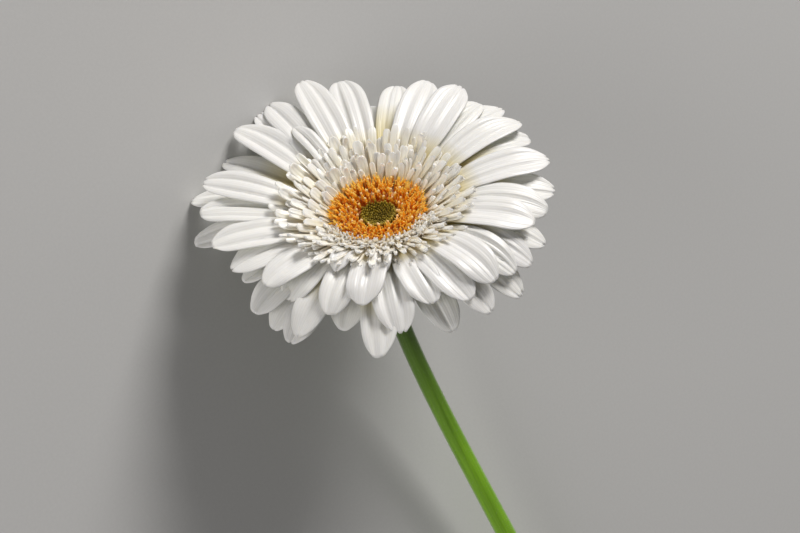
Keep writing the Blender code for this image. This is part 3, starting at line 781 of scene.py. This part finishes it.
def more_draws(table, own):
    """Further florets of rows given as start radius, elevation, length and count, by seeded draws."""
    rows = []
    for start, elevation, long, count in table:
        direction = steps_round(count, own.uniform(-0.3, 0.3, count))
        tilt = np.radians(elevation + own.uniform(-7, 7, count))
        rows.append([direction, start + own.uniform(-0.2, 0.2, count), tilt,
                     long * own.uniform(0.8, 1.15, count), own.uniform(0.85, 1.15, count)])
    return np.concatenate(rows, axis=1)


def floret_frames(direction, radius, elevation, z):
    """Starts, aims and upward normals of florets that leave the bed at an elevation, each in its plane."""
    start = radial(direction, radius, 0 * radius, z + 0 * radius)
    aim = radial(direction, np.cos(elevation), 0 * elevation, np.sin(elevation))
    up = radial(direction, -np.sin(elevation), 0 * elevation, np.cos(elevation))
    return start, aim, up


def straps(draws, width, own, rows, columns):
    """Trans florets: channelled straps, narrow at the foot, whose round ends roll in, bend or droop.

    They lie flatter, broader and straighter at one side, and are club-shaped opposite.
    """
    direction, radius, elevation, long, wide = draws
    count = len(direction)
    broad_side = np.cos(direction - BROADEST_DIRECTION)
    flat_side = np.clip(np.cos(direction - FLAT_DIRECTION), 0, 1)
    far_side = np.clip(-np.cos(direction - FLAT_DIRECTION), 0, 1)[:, None]
    elevation = elevation + TRANS_LIFTING * broad_side
    elevation = np.maximum(elevation - TRANS_FLATTENING * flat_side, FLATTEST)
    long = long * (1 + TRANS_LENGTHENING * broad_side)
    start, aim, up = floret_frames(direction, radius, elevation, TRANS_START)
    t = 1 - (1 - np.linspace(0, 1, rows)) ** 1.5
    curl = own.choice(CURLS, count, p=CURL_CHANCES)
    curl = curl * own.uniform(0.8, 1.2, count) * (0.6 + 0.4 * broad_side) * (1 - 0.6 * flat_side)
    begin = own.uniform(*CURL_STARTS, count)[:, None]
    turn = 0.1 * (t - 0.5) + own.uniform(-0.1, 0.16, count)[:, None] * t
    turn = turn + curl[:, None] * smooth((t - begin) / (1 - begin))
    points, normal, side = bent_paths(start, aim, up, long * 1.05, t, turn)
    drift = own.uniform(-1.0, 1.0, count)[:, None] * t**2
    points = points + drift[..., None] * side
    end = np.clip((t - STRAP_END) / (1 - STRAP_END), 0, 1)
    foot = FOOT - FOOT_NARROWING * far_side
    shape = (foot + (1 - foot) * smooth((t - 0.3 * far_side) / 0.6)) * np.sqrt(1 - 0.84 * end**3)
    wide = wide * (1 + BACK_BROADENING * broad_side + FLAT_BROADENING * flat_side)
    half = 0.5 * width * wide[:, None] * shape
    u = np.linspace(1, -1, columns)[None, None]
    lift = own.uniform(-0.4, 0.35, count)[:, None, None] * u**2 + 0.07 * np.cos(3 * math.pi * u)
    lift = lift * (half[..., None] / (0.5 * width))
    roll = own.uniform(-0.5, 0.5, count)[:, None] * t
    swollen = 1 + SWELLING * (1 + far_side[..., None]) * smooth((t[:, None] - 0.6) / 0.3)
    thick = bpy.context.scene.gerbera_trans.thickness / MM * np.sqrt(1 - 0.8 * u**2) * swollen
    return leaflets((points, normal, side), half, lift, roll, thick + 0 * lift, u)


def star_lobes(draws, own):
    """Four pointed lobes on each short floret, spread like a star round the end of its tube."""
    direction, radius, elevation, long, wide = draws
    count = len(direction)
    start, aim, up = floret_frames(direction, radius, elevation, TRANS_START)
    t = np.linspace(0, 1, 6)
    half = 0.5 * 0.75 * wide[:, None] * (0.55 + 0.9 * t - 1.4 * t**2.4)
    lobes = []
    for lobe in range(STAR_LOBES):
        turn = math.pi - (2 * math.pi / STAR_LOBES * lobe + own.uniform(-0.3, 0.3, count))
        spread = np.radians(own.uniform(25, 75, count))[:, None]
        size = (OTHER_LOBES if lobe else FIRST_LOBE) * wide * own.uniform(0.8, 1.2, count)
        bend = own.uniform(-0.9, 0.5, count)[:, None] * t
        end = start + long[:, None] * aim
        lobes.append(pointed_lobes(end, aim, up, turn, spread, size, t, bend, half, 0.15, 0.2))
    return np.concatenate(lobes)


def star_tubes(draws):
    """The slim tubes that carry the star-like florets."""
    direction, radius, elevation, long, _ = draws
    t = np.linspace(0, 1, 4)
    paths = straight_paths(*floret_frames(direction, radius, elevation, TRANS_START), long, t)
    return tubes(paths, 0.32 + 0.16 * t + 0 * direction[:, None])


class GERBERA_OT_trans(bpy.types.Operator):
    """Makes the small white florets between the petals and the disc."""

    bl_idname = "gerbera.trans"
    bl_label = "Trans florets"

    def execute(self, context):
        look = context.scene.gerbera_trans
        own = np.random.default_rng(SEED + 1)
        base, body = tuple(look.base), tuple(look.body)
        # The ramp's base is partly the cream feet, partly painted warm shade deep between the florets
        stops = [(0.0, base), (0.4, blend_shades(base, body, 0.6)), (0.7, body), (0.92, tuple(look.tip))]
        skin = floret_skin("waxy white floret", 0.25, stops, 0.08, 0.6, 1.0)
        broad = straps(trans_draws(), look.width / MM, own, 17, 11)
        slim = straps(more_draws(SLIM_ROWS, own), look.slim / MM, own, 15, 7)
        stars = more_draws(STAR_ROWS, own)
        stars[0] = STAR_DIRECTION + STAR_SPREAD * (stars[0] / math.pi - 1)
        groups = {"broad_trans": broad, "slim_trans": slim, "star_lobes": star_lobes(stars, own),
                  "star_tubes": star_tubes(stars)}
        for name, rings in groups.items():
            tone = own.uniform(-1, 1, len(rings))
            ringed_piece(name, in_place(rings), skin, "small_petals", "trans_florets", tone)
        return {"FINISHED"}


def bed_height(radius):
    """Height of the disc's bed, which rises from its hole to its rim."""
    inner, low, outer, high = DISC_BED
    return low + (high - low) * (radius - inner) / (outer - inner)


def disc_draws():
    """The solids' disc florets: direction, radius, lean from the axis and height of each."""
    draw = random.Random(SEED + 2)
    rows = []
    for row, (radius, count, lean, tall) in enumerate(DISC_ROWS):
        for i in range(count):
            direction = 2 * math.pi * (i + 0.5 * (row % 2) + draw.uniform(*DISC_TURNS)) / count
            tilt = math.radians(lean + draw.uniform(*DISC_LEANS))
            rows.append((direction, radius, tilt, tall * draw.uniform(*DISC_HEIGHTS)))
    return np.array(rows).T


def disc_row(own, row, moved, jitter, aside, heights):
    """One more row of disc florets, each moved by a draw round the ring, out of it and in its lean."""
    radius, count, lean, tall = row
    return [steps_round(count, moved + own.uniform(-jitter, jitter, count)),
            radius + own.uniform(-aside, aside, count), np.radians(lean + own.uniform(-9, 9, count)),
            tall * own.uniform(*heights, count)]


def disc_between(own):
    """Slimmer disc florets between the solids' rows, and those of the outermost rows."""
    between = [(radius + BETWEEN_OUT, count + BETWEEN_MORE, lean + BETWEEN_LEAN, tall)
               for radius, count, lean, tall in DISC_ROWS]
    rows = [disc_row(own, row, 0.25, 0.3, 0.25, (0.7, 1.0)) for row in between]
    rows += [disc_row(own, row, 0.0, 0.4, 0.2, (0.8, 1.1)) for row in RIM_ROWS]
    return np.concatenate(rows, axis=1)


def spikes(draws, width, own):
    """Disc florets: a slim tube, wider where the anthers start, that tapers to a point and leans."""
    direction, radius, lean, tall = draws
    count = len(direction)
    start, aim, up = floret_frames(direction, radius, 0.5 * math.pi - lean, bed_height(radius))
    t = np.array(SPIKE_PLACES, float)
    turn = own.uniform(-0.8, 0.7, count)[:, None] * t**2
    points, normal, side = bent_paths(start - DISC_SUNK * aim, aim, up, tall + DISC_SUNK, t, turn)
    points = points + (own.uniform(-0.5, 0.5, count)[:, None] * t**2)[..., None] * side
    radii = 0.5 * width * own.uniform(0.85, 1.15, count)[:, None] * np.array(SPIKE_WIDTHS)
    return tubes((points, normal, side), radii), points


def corolla_lobes(points, draws, own):
    """Three small pointed lobes that curl away from each disc floret where its anthers start."""
    direction, _, lean, tall = draws
    _, aim, up = floret_frames(direction, 0 * lean, 0.5 * math.pi - lean, 0.0)
    count = len(direction)
    t = np.linspace(0, 1, 5)
    half = 0.5 * 0.5 * (1 - 0.85 * t**1.5) + 0 * direction[:, None]
    lobes = []
    for lobe in range(3):
        turn = 2 * math.pi * lobe / 3 + own.uniform(-0.5, 0.5, count)
        spread = own.uniform(0.3, 0.9, count)[:, None]
        bend = own.uniform(-0.8, 0.6, count)[:, None] * t
        base = points[:, ANTHERS]
        lobes.append(pointed_lobes(base, aim, up, turn, spread, 0.32 * tall, t, bend, half, 0.08, 0.16))
    return np.concatenate(lobes)


class GERBERA_OT_disc(bpy.types.Operator):
    """Makes the orange ring: florets, their lobes, cream stigmas and the tan hairs round them."""

    bl_idname = "gerbera.disc"
    bl_label = "Disc florets"

    def execute(self, context):
        look = context.scene.gerbera_disc
        own = np.random.default_rng(SEED + 2)
        root, orange, tip = tuple(look.root), tuple(look.orange), tuple(look.tip)
        # From painted shade at the root to a tip that is partly own yellow, partly painted highlight
        stops = [(0.0, root), (0.35, blend_shades(root, orange, 0.55)), (0.62, orange), (0.97, tip)]
        skin = floret_skin("orange floret", 0.5, stops, 0.24, 0.35)
        first, second = disc_draws(), disc_between(own)
        tips = self.florets("disc", first, look.width / MM, skin, own)
        self.florets("slim", second, 0.85 * look.width / MM, skin, own)
        self.stigmas(tips, first, own)
        self.hairs(look.hairs, own)
        return {"FINISHED"}

    def florets(self, name, draws, width, skin, own):
        """A set of spikes and a set of their lobes. Gives the spikes' tips."""
        rings, points = spikes(draws, width, own)
        place = skin, "disc_orange", "disc_florets"
        ringed_piece(f"{name}_spikes", in_place(rings), *place, own.uniform(-1, 1, len(rings)))
        lobes = corolla_lobes(points, draws, own)
        ringed_piece(f"{name}_lobes", in_place(lobes), *place, own.uniform(-0.5, 1, len(lobes)))
        return points[:, -1]

    def stigmas(self, tips, draws, own):
        """Small cream knobs on the tips of most inner florets and some outer ones."""
        chance = np.where(draws[1] < STIGMA_RADIUS, *STIGMA_CHANCES)
        start = tips[own.uniform(0, 1, len(tips)) < chance] - 0.3 * UP
        count = len(start)
        aim = unit(np.column_stack([own.uniform(-0.4, 0.4, (count, 2)), np.ones(count)]))
        t = np.linspace(0, 1, 6)
        paths = straight_paths(start, aim, unit(np.cross(aim, RIGHT)), own.uniform(0.7, 1.1, count), t)
        round_shape = np.sqrt(np.clip(1 - (2 * t - 1) ** 2, 0.04, 1))
        radii = STIGMA_SIZE * round_shape * own.uniform(0.8, 1.2, count)[:, None]
        shade = context_colour("disc", "style")
        stops = [(0.0, shade), (1.0, blend_shades(shade, WHITE, 0.15))]
        skin = floret_skin("cream stigma", 0.4, stops, 0.1, 0.2)
        tone = own.uniform(-1, 1, count)
        ringed_piece("stigmas", in_place(tubes(paths, radii)), skin, "disc_orange", "disc_florets", tone)

    def hairs(self, count, own):
        """Tan pappus hairs that stand between the orange ring and the white florets."""
        direction = own.uniform(0, 2 * math.pi, count)
        radius = own.uniform(*PAPPUS_RADII, count)
        start = radial(direction, radius, 0 * radius, -2.0 + 0 * radius)
        lean = own.uniform(0.15, 0.75, count)
        long = own.uniform(*PAPPUS_LENGTHS, count)
        aim = radial(direction, np.sin(lean), own.uniform(-0.2, 0.2, count), np.cos(lean))
        tip = start + long[:, None] * aim
        skin = hair_skin("tan pappus hair", context_colour("disc", "hair"))
        hair_piece("pappus", in_place(start), in_place(tip), 0.07, skin)


class GERBERA_OT_buds(bpy.types.Operator):
    """Makes the sunken field of unopened florets, packed on a spiral with the golden angle between them."""

    bl_idname = "gerbera.buds"
    bl_label = "Disc buds"

    def execute(self, context):
        look = context.scene.gerbera_buds
        own = np.random.default_rng(SEED + 3)
        count = look.count
        rim, rim_z, middle_z = BUD_DISH
        order = np.arange(count)
        radius = rim * np.sqrt((order + 0.5) / count)
        z = middle_z + (rim_z - middle_z) * (radius / rim) ** 2
        lean = 0.35 * (radius / rim) - 0.1 + own.uniform(-0.3, 0.3, count)
        start, aim, up = floret_frames(GOLDEN_ANGLE * order, radius, 0.5 * math.pi + lean, z)
        long = 1.0 + own.uniform(0.45, 0.95, count) + 0.5 * (radius / rim) ** 3
        paths = straight_paths(start - 1.0 * aim, aim, up, long, np.array(BUD_PLACES))
        shape = 0.5 * look.width / MM * np.array(BUD_WIDTHS)
        rings = tubes(paths, shape * own.uniform(0.9, 1.1, count)[:, None])
        shade_between_buds, olive = tuple(look.shade_between_buds), tuple(look.olive)
        # Each bud runs from painted shade at its foot to its olive top
        stops = [(0.3, shade_between_buds), (0.7, blend_shades(shade_between_buds, olive, 0.5)), (1.0, olive)]
        skin = floret_skin("olive bud", 0.5, stops, 0.12, 0.1)
        # Buds are darker towards the middle of the dish and lighter towards its rim
        tone = own.uniform(-1, 1, count) + 2.5 * (radius / rim - 0.65)
        ringed_piece("bud_field", in_place(rings), skin, "disc_olive", "disc_buds", tone)
        return {"FINISHED"}


def cup_places(share):
    """Points (radius, z) on the cup's side at shares of its length, and the unit normals out of it."""
    line = smooth_line(CUP_SIDE, 12)
    steps = np.linalg.norm(np.diff(line, axis=0), axis=1)
    along = np.concatenate([[0], np.cumsum(steps)]) / steps.sum()
    place = np.stack([np.interp(share, along, line[:, k]) for k in range(2)], axis=-1)
    slope = unit(np.gradient(line, axis=0))
    slope = unit(np.stack([np.interp(share, along, slope[:, k]) for k in range(2)], axis=-1))
    past = np.clip(share - 1, 0, None)[..., None] * steps.sum()
    return place + past * slope, np.stack([slope[..., 1], -slope[..., 0]], axis=-1)


def bract_skin():
    """Bract: leathery green tissue with a darker keel, a pale thin edge and a brown tip."""
    look = bpy.context.scene.gerbera_cup
    made, tree, shader = material("green bract", 0.55, Subsurface_Weight=0.08, Subsurface_Scale=0.8 * MM)
    uv, across, along = uv_parts(tree)
    green, edge = tuple(look.green), tuple(look.edge)
    away = reckon(tree, "ABSOLUTE", reckon(tree, "SUBTRACT", across, KEEL_PLACE))
    sided = ramp(tree, away, [(0.0, blend_shades(green, BLACK, 0.3)), (0.05, green), (0.18, green),
                              (0.24, edge)])
    end = add(tree, "ShaderNodeMapRange", {"Value": along, "From Min": 0.82, "From Max": 1.0}).outputs[0]
    grain = noise(tree, 1.0, 2.0, uv, (40.0, 3.0, 1.0))
    cover(tree, shader, mix(tree, end, sided, look.tip), grain, 0.4, 0.15)
    return made


class GERBERA_OT_cup(bpy.types.Operator):
    """Makes the green cup under the head, its pointed bracts and their cottony hairs."""

    bl_idname = "gerbera.cup"
    bl_label = "Involucre"

    def execute(self, context):
        look = context.scene.gerbera_cup
        own = np.random.default_rng(SEED + 4)
        place = bract_skin(), "bracts", "involucre"
        outline = np.concatenate([smooth_line(CUP_SIDE, 8), smooth_line(CUP_TOP, 3)])
        ringed_piece("cup", in_place(turned(outline, 96, 0.006)), *place)
        tops = np.concatenate([self.bract_tops(*row) for row in BRACT_ROWS])
        rings = blades(tops, np.full(tops.shape[:3], BRACT_THICKNESS))
        ringed_piece("bract_leaves", in_place(rings), *place, own.uniform(-1, 1, len(rings)))
        self.hairs(look.hairs, own)
        return {"FINISHED"}

    def bract_tops(self, count, first, last, width, shift):
        """Upper points of a row of bracts, which lie on the cup and stand out more towards their tips."""
        t, u = np.linspace(0, 1, 17), np.linspace(1, -1, 9)
        place, normal = cup_places(first + t * (last - first))
        rounding = np.sqrt(1 - 0.6 * np.clip((t - 0.9) / 0.1, 0, 1) ** 2)
        broad = np.interp(t, [0, 0.5, 1], [0.6, 1, 0.14]) ** 0.9 * rounding
        proud = BRACT_PROUD * (1 + 0.9 * t[:, None] ** 3)
        proud = proud + BRACT_KEEL * (1 - np.abs(u)) - BRACT_DROOP * u**4
        out, up = (place[:, k:k + 1] + proud * normal[:, k:k + 1] for k in range(2))
        side = 0.5 * width * broad[:, None] * u
        return radial(steps_round(count, shift)[:, None, None], out[None], side[None], up[None])

    def hairs(self, count, own):
        """Cottony hairs over the cup, denser towards its foot."""
        place, normal = cup_places(own.uniform(0, 1, count) ** 1.2)
        direction = own.uniform(0, 2 * math.pi, count)
        foot = place + 0.45 * normal
        start = radial(direction, foot[:, 0], 0 * foot[:, 0], foot[:, 1])
        lean = own.uniform(-0.7, 0.7, count)
        aim = radial(direction, normal[:, 0], lean, normal[:, 1] + own.uniform(-0.2, 1.0, count))
        tip = start + own.uniform(0.5, 1.2, count)[:, None] * unit(aim)
        skin = hair_skin("pale cup hair", context_colour("stem", "hair"))
        hair_piece("cup_hairs", in_place(start), in_place(tip), 0.04, skin)


def stem_line(end_slope, steps=2000):
    """Centres, slopes and shares of the stem, summed in small steps.

    The slope below the horizontal is the head's axis at first, and falls off exponentially to that of the
    end.
    """
    head = bpy.context.scene.gerbera_head
    start = 0.5 * math.pi - head.tilt - end_slope
    along = np.linspace(0, STEM_LENGTH, steps)
    slope = end_slope + start * np.exp(-0.5 * (along[1:] + along[:-1]) / STEM_BEND)
    forward, down = (np.concatenate([[0], np.cumsum(along[1] * part(slope))]) for part in (np.cos, np.sin))
    y = head.y / MM - STEM_TOP * math.sin(head.tilt) + forward
    z = head.height / MM + STEM_TOP * math.cos(head.tilt) - down
    return y, z, end_slope + start * np.exp(-along / STEM_BEND), along / STEM_LENGTH


def resting_end_slope():
    """The end slope, by halving, at which the lowest point of the cut end touches the surface."""
    look = bpy.context.scene.gerbera_stem
    low, high = 0.0, STEEPEST_END
    for _ in range(HALVINGS):
        middle = 0.5 * (low + high)
        _, z, slope, _ = stem_line(middle)
        if z[-1] > look.end_radius / MM * (1 + look.ridge) * math.cos(slope[-1]):
            low = middle
        else:
            high = middle
    return low


def stem_points(share, turn, over=0.0):
    """Points on the stem at shares of its length and turns round it, and the unit normals out of it.

    The radius grows until half the length, and seven ridges run along it with finer ones between.
    """
    look, head = bpy.context.scene.gerbera_stem, bpy.context.scene.gerbera_head
    y, z, slope, shares = stem_line(resting_end_slope())
    y, z, slope = (np.interp(share, shares, values) for values in (y, z, slope))
    radius = look.top_radius / MM + (look.end_radius - look.top_radius) / MM * np.minimum(1, 2 * share)
    ridges = 1 + look.ridge * np.cos(RIDGES * turn) + FINE_RIDGE * np.cos(FINE_RIDGES * turn + 9 * share)
    size = radius * ridges + over
    out = np.stack([np.sin(turn), -np.cos(turn) * np.sin(slope), -np.cos(turn) * np.cos(slope)], axis=-1)
    centre = np.stack([head.x / MM + 0 * y, y, z], axis=-1)
    return centre + size[..., None] * out, out, slope


def stem_skin():
    """Scape: smooth juicy green skin with a satin sheen and fine streaks, darkened near the head by painted
    head shadow.
    """
    look = bpy.context.scene.gerbera_stem
    made, tree, shader = material("green stem skin", 0.38, Subsurface_Weight=0.06,
                                  Subsurface_Scale=1.0 * MM, Sheen_Weight=0.4, Sheen_Roughness=0.4)
    shader.inputs["Subsurface Radius"].default_value = (0.6, 1.0, 0.2)
    uv, _, along = uv_parts(tree)
    high, low = tuple(look.high), tuple(look.low)
    # The ramp starts darker at the head: painted shadow of the head on the stem's own green
    shade = ramp(tree, along, [(0.0, high), (0.13, blend_shades(high, low, 0.2)), (0.34, low),
                               (1.0, linear("#93BE3A"))])
    streaks = noise(tree, 1.0, 3.0, uv, (30.0, 14.0, 1.0))
    tint = ramp(tree, streaks, [(0.3, (0.66, 0.7, 0.58)), (0.7, WHITE)])
    cover(tree, shader, mix(tree, 1.0, shade, tint, "MULTIPLY"), streaks, 0.25, 0.12)
    return made


def cut_skin():
    """Cut end: wet pale tissue with a ring of darker bundles just inside the green skin."""
    made, tree, shader = material("pale cut stem", 0.3)
    uv, _, inward = uv_parts(tree)
    pale = ramp(tree, inward, [(0.17, linear("#7FA03A")), (0.34, linear("#C4CF96")),
                               (0.65, linear("#DDE2BE")), (1.0, linear("#EEF0DC"))])
    dots = add(tree, "ShaderNodeTexWave", {0: uv, "Scale": 3.5}).outputs["Fac"]
    ring = add(tree, "ShaderNodeMapRange", {"Value": inward, "From Min": 0.6, "From Max": 0.4}).outputs[0]
    bundles = reckon(tree, "MULTIPLY", dots, ring)
    cover(tree, shader, mix(tree, bundles, pale, linear("#8FA35C")))
    return made


class GERBERA_OT_stem(bpy.types.Operator):
    """Makes the stem, its cut end and its fine hairs."""

    bl_idname = "gerbera.stem"
    bl_label = "Stem"

    def execute(self, context):
        look = context.scene.gerbera_stem
        own = np.random.default_rng(SEED + 5)
        share = np.linspace(0, 1, STEM_RINGS) ** 1.2
        points, _, _ = stem_points(*np.meshgrid(share, -steps_round(STEM_SIDES), indexing="ij"))
        ringed_piece("stem_skin", points[None], stem_skin(), "stem", "stem")
        self.cut_end()
        self.hairs(look.hairs, own)
        return {"FINISHED"}

    def cut_end(self):
        """A thin lens of pale tissue on the cut face, sunk a little at its middle."""
        rim, _, slope = stem_points(np.ones(CUT_SIDES), -steps_round(CUT_SIDES), -0.12)
        middle = rim.mean(axis=0)
        forward = np.array([0.0, math.cos(slope[0]), -math.sin(slope[0])])
        shares = np.array(CUT_LENS)
        rings = middle + shares[:, :1, None] * (rim - middle) + shares[:, 1:, None] * forward
        ringed_piece("stem_cut", rings[None], cut_skin(), "stem", "stem")

    def hairs(self, count, own):
        """Fine hairs all over the stem that lean towards the head, kept above the surface."""
        share, turn = own.uniform(0.0, 1.0, count), own.uniform(0, 2 * math.pi, count)
        start, out, slope = stem_points(share, turn, -0.05)
        back = np.stack([own.uniform(-0.5, 0.5, count), -np.cos(slope), np.sin(slope)], axis=-1)
        long, lean = own.uniform(0.35, 0.85, count)[:, None], own.uniform(0.1, 0.9, count)[:, None]
        tip = start + long * unit(out + lean * back)
        tip[:, 2] = np.maximum(tip[:, 2], 0.03)
        start[:, 2] = np.maximum(start[:, 2], 0.06)
        skin = hair_skin("pale stem hair", context_colour("stem", "hair"))
        hair_piece("stem_hairs", start, tip, 0.022, skin)


def camera_frame():
    """The photograph's view: unit vectors to its right, its top and the camera, in the object's frame.

    The disc's axis is seen at an angle whose cosine is the ratio of the orange ring's two diameters.
    """
    psi, roll, face = math.radians(HEAD_TURN), math.radians(PHOTO_ROLL), math.acos(RING_RATIO)
    tilt = bpy.context.scene.gerbera_head.tilt
    across, over = Vector((1, 0, 0)), Vector((0, math.cos(tilt), math.sin(tilt)))
    axis = Vector((0, -math.sin(tilt), math.cos(tilt)))
    right = -math.cos(psi) * across + math.sin(psi) * over
    down = math.sin(psi) * across + math.cos(psi) * over
    towards = math.cos(face) * axis + math.sin(face) * down
    above = math.sin(face) * axis - math.cos(face) * down
    rolled = math.cos(roll) * right - math.sin(roll) * above
    return rolled, math.sin(roll) * right + math.cos(roll) * above, towards.normalized()


def look_from(obj, place, aim, up):
    """Puts an object at a place with its -Z axis on the aim and its Y axis up."""
    z = (place - aim).normalized()
    x = up.cross(z).normalized()
    turn = Matrix((x, z.cross(x), z)).transposed()
    obj.matrix_world = Matrix.Translation(place) @ turn.to_4x4()
    bpy.context.scene.collection.objects.link(obj)


class GERBERA_OT_stage(bpy.types.Operator):
    """Makes the plain pale floor, the soft studio light and the camera at the photograph's angle."""

    bl_idname = "gerbera.stage"
    bl_label = "Stage"

    def execute(self, context):
        scene = context.scene
        look, head = scene.gerbera_stage, scene.gerbera_head
        self.floor(tuple(look.floor))
        view = right, up, towards = camera_frame()
        disc = Vector((head.x, head.y, head.height))
        camera = bpy.data.objects.new("camera", bpy.data.cameras.new("camera"))
        camera.data.lens = LENS
        off_x, off_y = (size / 2 - pixel for size, pixel in zip(PHOTO_SIZE, DISC_PIXEL))
        aim = disc + MM / PHOTO_SCALE * (off_x * right - off_y * up)
        look_from(camera, disc + look.distance * towards, aim, up)
        scene.camera = camera
        for name, power, size, shares in (("key", look.key, KEY_SIZE, KEY_FROM),
                                          ("fill", look.fill, FILL_SIZE, FILL_FROM)):
            lamp = bpy.data.lights.new(name, "AREA")
            lamp.energy = power
            lamp.size = size
            lamp.color = linear("#FFFCF8")
            way = sum((share * axis for share, axis in zip(shares, view)), Vector((0, 0, 0))).normalized()
            look_from(bpy.data.objects.new(name, lamp), disc + LIGHT_DISTANCE * way, disc, Vector(UP))
        world = bpy.data.worlds.new("studio")
        world.use_nodes = True
        sky = world.node_tree.nodes["Background"].inputs
        sky["Color"].default_value = (*linear("#F0EEEC"), 1.0)
        sky["Strength"].default_value = look.ambient
        scene.world = world
        scene.view_settings.view_transform = "Standard"
        return {"FINISHED"}

    def floor(self, shade):
        """A wide flat slab whose top is the surface that the flower lies on."""
        made, tree, shader = material("matt paper floor", 0.8)
        grain = noise(tree, 1 / (0.9 * MM), 2.0)
        cover(tree, shader, ramp(tree, grain, [(0.3, blend_shades(shade, BLACK, 0.03)), (0.7, shade)]))
        mesh = bpy.data.meshes.new("floor")
        square = [(-1, -1), (1, -1), (1, 1), (-1, 1)]
        corners = [(FLOOR_HALF * x, FLOOR_HALF * y, z) for z in (-FLOOR_DEPTH, 0.0) for x, y in square]
        faces = [(3, 2, 1, 0), (4, 5, 6, 7)] + [(i, (i + 1) % 4, (i + 1) % 4 + 4, i + 4) for i in range(4)]
        mesh.from_pydata(corners, [], faces)
        mesh.materials.append(made)
        floor = bpy.data.objects.new("floor", mesh)
        bpy.context.scene.collection.objects.link(floor)


STEPS = (
    GERBERA_OT_receptacle, GERBERA_OT_rays, GERBERA_OT_trans, GERBERA_OT_disc, GERBERA_OT_buds,
    GERBERA_OT_cup, GERBERA_OT_stem, GERBERA_OT_stage,
)
GROUPS = {
    "gerbera_head": HeadSettings, "gerbera_rays": RaySettings, "gerbera_trans": TransSettings,
    "gerbera_disc": DiscSettings, "gerbera_buds": BudSettings, "gerbera_cup": CupSettings,
    "gerbera_stem": StemSettings, "gerbera_stage": StageSettings,
}


class GERBERA_PT_panel(bpy.types.Panel):
    """Lists the steps in the order in which they run, and then every setting."""

    bl_idname = "GERBERA_PT_panel"
    bl_label = "Gerbera"
    bl_space_type = "VIEW_3D"
    bl_region_type = "UI"
    bl_category = "Gerbera"

    def draw(self, context):
        for step in STEPS:
            self.layout.operator(step.bl_idname)
        for name, group in GROUPS.items():
            box = self.layout.box()
            for setting in group.__annotations__:
                box.prop(getattr(context.scene, name), setting)


def register():
    """Registers every class, and gives the scene one set of each group's settings."""
    for made in (*GROUPS.values(), *STEPS, GERBERA_PT_panel):
        bpy.utils.register_class(made)
    for name, group in GROUPS.items():
        setattr(bpy.types.Scene, name, PointerProperty(type=group))


def unregister():
    """Takes back what register did."""
    for name in GROUPS:
        delattr(bpy.types.Scene, name)
    for made in (GERBERA_PT_panel, *STEPS, *GROUPS.values()):
        bpy.utils.unregister_class(made)


def main():
    """Registers the add-on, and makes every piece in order."""
    register()
    for step in STEPS:
        group, name = step.bl_idname.split(".")
        getattr(getattr(bpy.ops, group), name)()


if __name__ == "__main__":
    main()
